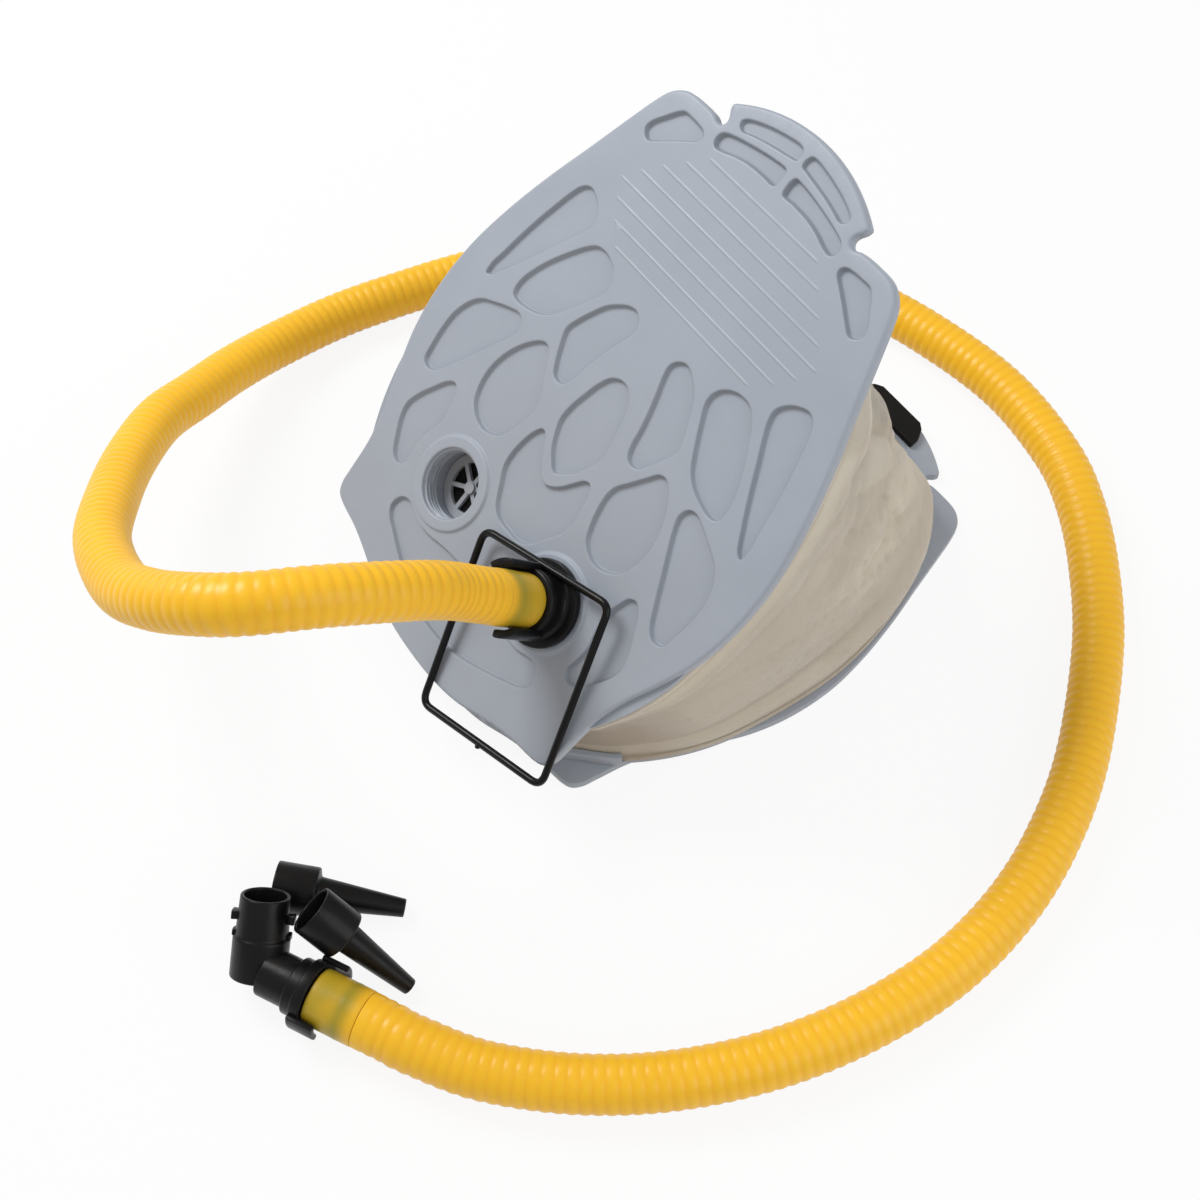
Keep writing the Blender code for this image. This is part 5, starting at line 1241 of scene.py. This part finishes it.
def fabric_marks(place, bead, run, u, free):
    """How much painted shade, seam line with painted crease shade, and paleness with painted light the
    fabric has at a point, each from 0 to 1.
    """
    near_hinge = 1 - step_up((u - 0.034) / 0.046)
    shade_patchiness = 0.5 + 0.5 * noise.noise(Vector((run * 30, place * 4, 1.0)))
    fade = 1 - 0.75 * step_up((u - 0.13) / 0.08)
    fold = fade * math.exp(-((place - LOW_CREASE - 0.012) / 0.017) ** 2)
    fold = max(fold, 0.35 * math.exp(-((place - HIGH_CREASE) / 0.02) ** 2))
    wrinkle = min(1.0, sharp_folds(place, run)) * (0.25 + 0.75 * loose_share(place, u))
    seam = 1.0 if place in (0.0, 1.0) and 0.05 < bead < 0.7 else 0.0
    strip = step_up((LOW_CREASE - place) / 0.03) * step_up((place - 0.02) / 0.04)
    edge, patch = facet(place, run)
    loose = loose_share(place, u) * free
    # painted shade: patchy darkening in the narrow end by the hinge
    shade = float(near_hinge * (0.45 + 0.55 * shade_patchiness)) * 0.9
    # the seam line is a dark joint; folds, wrinkles, facet edges and facets turned away get painted shade
    seam_and_crease_shade = max(fold * free, seam, 0.6 * wrinkle * free, 0.45 * loose * edge,
                 loose * max(0.0, -patch) * 1.7)
    # painted light on the strip below the low crease, which faces up, and on facets turned to the light; the
    # band near the top edge is its pale own colour
    pale = max(0.55 * strip * fade, step_up((place - 0.90) / 0.05),
               loose * max(0.0, patch) * 2.4)
    return shade, seam_and_crease_shade, pale


def bellows_mesh():
    """The fabric: an outer and an inner skin, joined at their edges, with its shares and marks."""
    line = traced(mirrored(bellows_half()), FABRIC_STEP)
    run = run_along(line)
    free = np.clip((line[:, 0] - WALL_END_U - WALL_CLEAR_RUN) / FREE_RUN, 0, 1)
    past_wall = step_up((line[:, 0] - WALL_END_U + 0.001) / 0.002)
    rows = bellows_rows()
    bm = bmesh.new()
    uv = bm.loops.layers.uv.new("UVMap")
    weight, *marks = [bm.verts.layers.float.new(name)
                      for name in ("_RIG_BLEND", "shade", "seam_and_crease_shade", "pale")]
    shells = []
    for inset in (0.0, SKIN):
        shell = []
        for place, w, bead in rows:
            proud = BEAD_PROUD * bead * past_wall
            if 0 < place < 1:
                proud = free * [stand_out(place, u, v) + crumple(place, s, u, v)
                                for s, (u, v) in zip(run, line)] + proud
            ring = offset(line, inset - proud)
            x, z = swung(ring[:, 0], w, place * OPEN_ANGLE)
            low_x, low_z = swung(ring[:, 0], w, 0.0)
            high_x, high_z = swung(ring[:, 0], w, OPEN_ANGLE)
            x = x * (1 - free) + (low_x * (1 - place) + high_x * place) * free
            z = z * (1 - free) + (low_z * (1 - place) + high_z * place) * free
            made = []
            for k in range(len(line)):
                vert = bm.verts.new((x[k], ring[k, 1], z[k]))
                vert[weight] = place
                values = fabric_marks(place, bead, run[k], line[k, 0], float(free[k]))
                for mark, value in zip(marks, values):
                    vert[mark] = value
                made.append(vert)
            shell.append(made)
        shells.append(shell)
    count = len(line)
    total = run[-1] + np.linalg.norm(line[0] - line[-1])
    last = len(rows) - 1
    for shell, inner in zip(shells, (False, True)):
        for r in range(last):
            piped = rows[r][2] > 0.1 or rows[r + 1][2] > 0.1
            for i in range(count):
                j = (i + 1) % count
                corners = (shell[r][i], shell[r][j], shell[r + 1][j], shell[r + 1][i])
                face = bm.faces.new(tuple(reversed(corners)) if inner else corners)
                face.material_index = 1 if piped and not inner else 0
                across = run[j] if j else total
                places = ((run[i], r), (across, r), (across, r + 1), (run[i], r + 1))
                places = tuple(reversed(places)) if inner else places
                for corner, (s, row) in zip(face.loops, places):
                    corner[uv].uv = (s, row * 0.0035)
    for row in (0, -1):
        outer, inner = shells[0][row], shells[1][row]
        for i in range(count):
            j = (i + 1) % count
            bm.faces.new((outer[i], outer[j], inner[j], inner[i]))
    return mesh_of(bm, "bellows_skin")


def carried(obj, body_a, body_b, start, end):
    own = np.zeros(len(obj.data.vertices), np.float32)
    obj.data.attributes["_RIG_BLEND"].data.foreach_get("value", own)
    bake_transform(obj, body_a, body_b, start=start, end=end)
    obj.data.attributes["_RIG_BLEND"].data.foreach_set("value", own)
    return obj


def spring_mesh():
    """A coil whose ends lie flat against its two seats."""
    steps = SPRING_TURNS * SPRING_TURN_STEPS
    path = []
    shares = [k / steps for k in range(steps + 1)]
    for k, share in enumerate(shares):
        turn = 2 * math.pi * k / SPRING_TURN_STEPS
        u = SPRING_U + SPRING_RADIUS * math.cos(turn)
        x, z = swung(u, SPRING_REACH * (2 * share - 1), share * OPEN_ANGLE)
        path.append((x, SPRING_RADIUS * math.sin(turn), z))
    rings = tube_rings(path, [SPRING_WIRE / 2] * len(path), SPRING_SIDES)
    bm = bmesh.new()
    weight = bm.verts.layers.float.new("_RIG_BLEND")
    rows = []
    for ring, share in zip(rings, shares):
        row = [bm.verts.new(p) for p in ring]
        for vert in row:
            vert[weight] = share
        rows.append(row)
    for first, second in zip(rows, rows[1:]):
        bridge(bm, first, second)
    bm.faces.new(list(reversed(rows[0])))
    bm.faces.new(rows[-1])
    return mesh_of(bm, "spring")


def add_bellows():
    """The fabric and the spring, both carried partly by each plate."""
    tip = Vector((HINGE.x + 0.15, 0, HINGE.z))
    top = LID @ Vector((0.15, 0, 0))
    for name, mesh, finish, node, slot in (
            ("bellows_skin", bellows_mesh(), [FABRIC, PIPING], "bellows", "coated_fabric"),
            ("coil_spring", spring_mesh(), STEEL, "return_spring", "steel")):
        obj = add(name, mesh, finish, 60)
        carried(obj, "base", "lid", tip, top)
        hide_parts(node)


# ---------------------------------------------------------------- hose and connector
def hose_path():
    """Close points down the middle of the hose, and how far along each is."""
    start = LID @ Vector((PORT_U, -PORT_V, COLLAR_TOP_W + CUFF_LENGTH))
    out = LID.to_3x3() @ Vector((0, 0, 1))
    first = [start + out * HOSE_DIAMETER * k / 2 for k in range(3)]
    last = [HOSE_END - HOSE_END_WAY * HOSE_DIAMETER * k / 2 for k in (2, 1, 0)]
    dense = np.array(smooth(first + list(HOSE_ROUTE) + last, 24))
    return dense, run_along(dense)


def hose_profile(share):
    """Radius within one rib and how deep in the valley that is."""
    crest = (0.5 - 0.5 * math.cos(2 * math.pi * share)) ** 0.55
    low, high = HOSE_VALLEY / 2, HOSE_DIAMETER / 2
    return low + (high - low) * crest, 1 - crest


def hose_mesh(dense, run):
    """The ribbed hose with its bore."""
    length = run[-1]
    count = HOSE_RIBS * HOSE_RIB_STEPS
    along_hose = np.arange(count + 1) * length / count
    path = np.stack([np.interp(along_hose, run, dense[:, k]) for k in range(3)], axis=1)
    radii = []
    depths = []
    for k in range(count + 1):
        radius, depth = hose_profile((k % HOSE_RIB_STEPS) / HOSE_RIB_STEPS)
        plain = 1 - step_up((min(along_hose[k], length - along_hose[k]) - 0.002) / 0.006)
        radii.append(radius * (1 - plain) + HOSE_DIAMETER / 2 * plain)
        depths.append(depth * (1 - plain))
    inner_at = np.linspace(0, length, HOSE_BORE_RINGS)
    inner_path = np.stack([np.interp(inner_at, run, dense[:, k]) for k in range(3)], axis=1)
    rings = tube_rings(path, radii, HOSE_SIDES)
    inner = tube_rings(inner_path, [HOSE_BORE / 2] * len(inner_path), HOSE_SIDES)
    bm = bmesh.new()
    weight = bm.verts.layers.float.new("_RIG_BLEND")
    valley = bm.verts.layers.float.new("valley")
    rows = []
    for ring, s, depth in [*zip(rings, along_hose, depths),
                           *zip(reversed(inner), reversed(inner_at), [0.5] * len(inner))]:
        row = [bm.verts.new(p) for p in ring]
        for vert in row:
            vert[weight] = float(1 - step_up(s / HOSE_FREE_RUN))
            # valley: painted shade between the ribs, and half of it inside the bore
            vert[valley] = depth
        rows.append(row)
    for first, second in zip(rows, rows[1:] + rows[:1]):
        bridge(bm, first, second)
    return mesh_of(bm, "ribbed_hose")


def cuff_mesh(band_at, band_tone):
    """A smooth end of the hose over a fitting, with a faint step where the fitting ends."""
    outer = CUFF_DIAMETER / 2
    profile = [(HOSE_BORE / 2, 0.0003), (outer - 0.0002, 0.0003)]
    for z in np.arange(0.0022, CUFF_LENGTH - 0.0012, 0.0010):
        step = 0.00012 * math.exp(-((z - band_at) / 0.0011) ** 2)
        profile.append((outer - 0.00005 + step, float(z)))
    profile += [(HOSE_DIAMETER / 2, CUFF_LENGTH - 0.0003), (HOSE_BORE / 2, CUFF_LENGTH - 0.0003)]
    mesh = lathe(profile, 64, 0.0004)
    valley = mesh.attributes.new("valley", "FLOAT", "POINT")
    for vert, item in zip(mesh.vertices, valley.data):
        swirl = noise.noise(vert.co * 90.0)
        near = band_tone * math.exp(-((vert.co.z - band_at) / 0.0026) ** 2)
        end = step_up((vert.co.z - CUFF_LENGTH * 0.74) / 0.005)
        item.value = min(1.0, max(0.0, (0.52 + 0.22 * swirl) * (1 - 0.85 * end) + near))
    return mesh


def connector_mesh():
    """The bayonet end: neck, flange, collar, spigot and two finger wings."""
    low = HALF + PORT_RING_HEIGHT + GAP
    top = low + FLANGE_HEIGHT
    neck = PORT_RADIUS - 0.0009
    profile = [(CONNECTOR_BORE, NECK_BOTTOM_W), (neck - 0.0006, NECK_BOTTOM_W),
               (neck, NECK_BOTTOM_W + 0.001), (neck, low - 0.0002), (neck, low),
               (FLANGE_RADIUS, low), (FLANGE_RADIUS, top)]
    profile += [(COLLAR_RADIUS + out, w) for out, w in (
        (0.0018, top), (0.0006, top + 0.0011), (0.0, top + 0.0030), (0.0, COLLAR_TOP_W - 0.0042),
        (0.0007, COLLAR_TOP_W - 0.0036), (0.0007, COLLAR_TOP_W - 0.0006),
        (-0.0002, COLLAR_TOP_W))]
    profile += [(SPIGOT_RADIUS, COLLAR_TOP_W), (SPIGOT_RADIUS, COLLAR_TOP_W + SPIGOT_LENGTH),
                (CONNECTOR_BORE, COLLAR_TOP_W + SPIGOT_LENGTH)]
    body = lathe(profile, 80, 0.0007)
    for turn in (WING_ANGLE, WING_ANGLE + math.pi):
        wing = sector(WING_RADIUS[0] - 0.0002, WING_RADIUS[1], WING_WIDTH / 2 / WING_RADIUS[0],
                      WING_W[0], WING_W[1], turn, 0.0010)
        root = sector(COLLAR_RADIUS - 0.001, WING_RADIUS[1] - 0.0005,
                      WING_WIDTH / 2.4 / WING_RADIUS[0], WING_W[0] + 0.0004, COLLAR_TOP_W - 0.0008,
                      turn, 0.0004)
        body = fuse(body, wing, root)
    return moved(body, LID @ Matrix.Translation((PORT_U, -PORT_V, 0)))


def wing_sides(start, way):
    """Angle round an arm's axis of the level direction across it."""
    level = Vector((-way.y, way.x, 0))
    lateral = along(start, way).to_3x3().transposed() @ level
    return math.atan2(lateral.y, lateral.x)


def elbow_mesh():
    """The far end: a stepped arm on the cuff and an open tube that stands up from it."""
    start = HOSE_END + HOSE_END_WAY * (CUFF_LENGTH + GAP)
    placed = along(start, HOSE_END_WAY)
    profile = [(0, -SPIGOT_LENGTH), (SPIGOT_RADIUS, -SPIGOT_LENGTH), (SPIGOT_RADIUS, 0)]
    run = 0.0
    for radius, length in (ELBOW_COLLAR, ELBOW_STEP, ELBOW_ARM):
        profile += [(radius, run), (radius, run + length)]
        run += length
    arm = lathe(profile + [(0, run)], 64, 0.0008)
    turn = wing_sides(start, HOSE_END_WAY)
    inner, outer = ELBOW_WING_RADIUS
    for angle in (turn, turn + math.pi):
        wing = sector(inner, outer, WING_WIDTH / 2 / inner, *ELBOW_WING_RUN, angle, 0.0009)
        arm = fuse(arm, wing)
    top = ELBOW_CUP_LENGTH + ELBOW_NECK_LENGTH
    wide, narrow = ELBOW_NECK_RADIUS
    cup = lathe([(0, 0), (ELBOW_CUP_RADIUS, 0), (ELBOW_CUP_RADIUS, ELBOW_CUP_LENGTH),
                 (wide, ELBOW_CUP_LENGTH + 0.0012), (narrow, top), (ELBOW_BORE, top),
                 (ELBOW_BORE, 0.004), (0, 0.004)], 72, 0.0009)
    stood = along(ELBOW_FOOT, ELBOW_AXIS)
    seen = stood.to_3x3().transposed() @ LUG_SIDE
    turn = math.atan2(seen.y, seen.x)
    for low, high, proud in ELBOW_LUGS:
        for angle in (turn, turn + math.pi):
            lug = sector(narrow - 0.001, wide + proud, math.radians(14), top - high, top - low,
                         angle, 0.0005)
            cup = fuse(cup, lug)
    throat = moved(lathe([(0, 0.0045), (ELBOW_BORE, 0.0045), (ELBOW_BORE, top + 0.002),
                          (0, top + 0.002)], 72, 0.0001), stood)
    mesh = fuse(moved(arm, placed), moved(cup, stood))
    passage = lathe([(0, -SPIGOT_LENGTH - 0.001), (CONNECTOR_BORE, -SPIGOT_LENGTH - 0.001),
                     (CONNECTOR_BORE, run - 0.003), (0, run - 0.003)], 48, 0.0001)
    return cut(mesh, throat, moved(passage, placed))


def nozzle_mesh(foot, tip, mouth_radius, tip_radius):
    """A short socket and a long taper, bored through."""
    foot, tip = Vector(foot), Vector(tip)
    end = (tip - foot).length
    base, wide, wall = NOZZLE_BASE_LENGTH, NOZZLE_BASE_RADIUS, NOZZLE_WALL
    body = lathe([(wide - wall, 0), (wide, 0), (wide + 0.00005, base), (mouth_radius, base + 0.0010),
                  (tip_radius, end), (tip_radius - wall * 0.8, end),
                  (mouth_radius - wall - 0.0006, base + 0.003), (wide - wall, base - 0.003)],
                 64, 0.0008)
    return moved(body, along(foot, tip - foot))


def add_hose():
    dense, run = hose_path()
    hose = add("ribbed_hose", hose_mesh(dense, run), YELLOW, 75)
    carried(hose, "base", "lid", Vector(dense[-1]), Vector(dense[0]))
    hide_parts("air_hose")

    near_place = LID @ Matrix.Translation((PORT_U, -PORT_V, COLLAR_TOP_W))
    piece("cuff_pump_end", moved(cuff_mesh(*PUMP_CUFF_BAND), near_place), OLIVE,
          "connector", "hose_cuff_pump_end")
    piece("port_connector", connector_mesh(), BLACK,
          "connector", "hose_connector")

    far_place = along(HOSE_END + HOSE_END_WAY * CUFF_LENGTH, -HOSE_END_WAY)
    far = piece("cuff_far_end", moved(cuff_mesh(*FAR_CUFF_BAND), far_place), OLIVE,
                "base", "hose_cuff_far_end")
    elbow = piece("end_elbow", elbow_mesh(), BLACK, "base", "hose_end_elbow")
    for name, sizes, node in (("loose_taper_nozzle", TAPER_NOZZLE, "taper_nozzle"),
                              ("loose_slim_nozzle", SLIM_NOZZLE, "slim_nozzle")):
        piece(name, nozzle_mesh(*sizes), BLACK, "base", node)


# ---------------------------------------------------------------- bail, bumper and pin caps
def bail_matrix():
    """The bail hangs from the collar on its top bar and leans on the plate's hinge edge."""
    flange_top = HALF + PORT_RING_HEIGHT + GAP + FLANGE_HEIGHT
    down = Vector((-math.cos(BAIL_TURN), -math.sin(BAIL_TURN), 0))
    bar = Vector((math.sin(BAIL_TURN), -math.cos(BAIL_TURN), 0))
    reach = COLLAR_RADIUS + GAP + BAIL_WIRE / 2
    centre = Vector((PORT_U, -PORT_V, flange_top + GAP + BAIL_WIRE / 2))
    centre = centre - down * reach - bar * BAIL_SIDE_SHIFT
    slope = down * math.cos(BAIL_DROP) - Vector((0, 0, 1)) * math.sin(BAIL_DROP)
    up = bar.cross(slope).normalized()
    turn = Matrix((bar, slope, up)).transposed().to_4x4()
    return LID @ Matrix.Translation(centre) @ turn


def bail_mesh():
    """A closed loop of wire with its weld on the lower bar."""
    loop = even(rounded(BAIL_CORNERS, BAIL_CORNER, 10), 0.0012)
    count = len(loop)
    angles = [2 * math.pi * k / BAIL_SIDES for k in range(BAIL_SIDES)]
    bm = bmesh.new()
    rows = []
    for i in range(count):
        way = Vector(loop[(i + 1) % count]) - Vector(loop[i - 1])
        way.normalize()
        side = Vector((-way.y, way.x, 0.0))
        place = Vector((*loop[i], 0.0))
        rows.append([bm.verts.new(place + side * (BAIL_RADIUS * math.cos(a))
                                  + Vector((0, 0, BAIL_RADIUS * math.sin(a)))) for a in angles])
    for first, second in zip(rows, rows[1:] + rows[:1]):
        bridge(bm, first, second)
    wire = mesh_of(bm, "wire")
    weld = lathe([(0, -0.0018), (0.0011, -0.0014), (0.0013, 0), (0.0010, 0.0012), (0, 0.0016)], 20)
    place = Vector(BAIL_CORNERS[1]).lerp(Vector(BAIL_CORNERS[2]), 0.50)
    weld = moved(weld, Matrix.Translation((place.x, place.y + BAIL_WIRE * 0.45, -0.0004)))
    return moved(joined([wire, weld]), bail_matrix())


def bumper_mesh():
    """The rubber block on the lower plate's tab."""
    start, end = BUMPER_U
    half = [(end, 0.0155), (end - 0.0025, 0.0195), (end - 0.0075, 0.0230), (start, 0.0245)]
    outline = [(u, -v) for u, v in reversed(half)] + half
    low = -RIM_W + GAP
    return moved(prism(outline, low, low + BUMPER_HEIGHT, 0.0009, 4), Matrix.Translation(HINGE))


def cap_mesh(node):
    """A domed cap on the end of the hinge pin, where its CAD node is."""
    low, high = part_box(node)
    sign = 1 if low.y > 0 else -1
    foot = Vector((HINGE.x, low.y if sign > 0 else high.y, HINGE.z))
    cap = lathe([(0, 0), (CAP_RADIUS, 0), (CAP_RADIUS, CAP_LENGTH), (0, CAP_LENGTH)], 48, 0.0014)
    turn = Matrix.Rotation(math.radians(-90 * sign), 4, "X")
    return moved(cap, Matrix.Translation(foot) @ turn)


def add_small_pieces():
    piece("wire_bail", bail_mesh(), WIRE, "bail", "lock_bail", 60)
    piece("rubber_bumper", bumper_mesh(), RUBBER, "base", "tab_bumper")
    for side in ("left", "right"):
        node = "pin_cap_" + side
        piece("rubber_cap_" + side, cap_mesh(node), RUBBER, "base", node)


def repaint_kept_nodes():
    """Inner pieces keep their CAD shape and get their finish."""
    finishes = ((STEEL, ("base_screw", "lid_screw", "hinge_pin"), ()),
                (INNER, ("bellows_clamp", "spring_seat"), ("_valve_seat", "_stud")),
                (RUBBER, ("connector_seal",), ("_flap",)))
    for name, node in NODES.items():
        for finish, starts, ends in finishes:
            if name.startswith(starts) or name.endswith(ends):
                node.data.materials.clear()
                node.data.materials.append(finish)


# ---------------------------------------------------------------- stage
def floor_material():
    """White to the camera, with the object's faint shadow."""
    made = bpy.data.materials.new("floor")
    made.use_nodes = True
    tree = made.node_tree
    shader = tree.nodes["Principled BSDF"]
    for name, value in (("Base Color", FLOOR_COLOUR), ("Roughness", 0.9),
                        ("Specular IOR Level", 0.0)):
        shader.inputs[name].default_value = value
    glow = new_node(tree, "ShaderNodeEmission", {"Strength": 1.0, "Color": WHITE})
    path = new_node(tree, "ShaderNodeLightPath").outputs
    seen = path["Is Camera Ray"]
    for ray in ("Is Glossy Ray", "Is Transmission Ray"):
        seen = new_node(tree, "ShaderNodeMath", {0: seen, 1: path[ray]},
                        operation="MAXIMUM").outputs[0]
    share = new_node(tree, "ShaderNodeMath", {0: seen, 1: FLOOR_GLOW}, operation="MULTIPLY")
    mix = new_node(tree, "ShaderNodeMixShader",
                   {0: share.outputs[0], 1: shader.outputs[0], 2: glow.outputs[0]})
    tree.links.new(mix.outputs[0], tree.nodes["Material Output"].inputs["Surface"])
    return made


def add_stage():
    bm = bmesh.new()
    bmesh.ops.create_grid(bm, x_segments=1, y_segments=1, size=FLOOR_SIZE)
    floor = add("floor", mesh_of(bm, "floor"), floor_material(), 0)
    floor.location = (0.0, 0.0, FLOOR_Z)
    world = bpy.data.worlds.new("studio")
    bpy.context.scene.world = world
    world.use_nodes = True
    tree = world.node_tree
    dim = tree.nodes["Background"]
    dim.inputs["Color"].default_value = WHITE
    dim.inputs["Strength"].default_value = WORLD_STRENGTH
    white = new_node(tree, "ShaderNodeBackground", {"Color": WHITE, "Strength": 1.0})
    seen = new_node(tree, "ShaderNodeLightPath").outputs["Is Camera Ray"]
    mix = new_node(tree, "ShaderNodeMixShader",
                   {0: seen, 1: dim.outputs[0], 2: white.outputs[0]})
    tree.links.new(mix.outputs[0], tree.nodes["World Output"].inputs["Surface"])


def lamp(name, way, distance, size, energy):
    """A round area lamp that faces the object from some way off."""
    data = bpy.data.lights.new(name, "AREA")
    data.shape = "DISK"
    data.size = size
    data.energy = energy
    made = linked(bpy.data.objects.new(name, data))
    way = Vector(way).normalized()
    made.location = LAMP_TARGET + way * distance
    made.rotation_mode = "QUATERNION"
    made.rotation_quaternion = way.to_track_quat("Z", "Y")


def add_camera():
    data = bpy.data.cameras.new("camera")
    data.sensor_width = 36.0
    data.lens = CAMERA_LENS
    data.clip_start = 0.01
    camera = linked(bpy.data.objects.new("camera", data))
    turn = Matrix((CAMERA_RIGHT, -CAMERA_DOWN, -CAMERA_AHEAD)).transposed()
    camera.rotation_mode = "QUATERNION"
    camera.rotation_quaternion = turn.to_quaternion()
    camera.location = CAMERA_PLACE
    bpy.context.scene.camera = camera


add_camera()
add_stage()
for settings in LAMPS:
    lamp(*settings)
add_hose()
add_plates()
add_bellows()
add_small_pieces()
repaint_kept_nodes()
bpy.context.scene.view_settings.view_transform = "Standard"
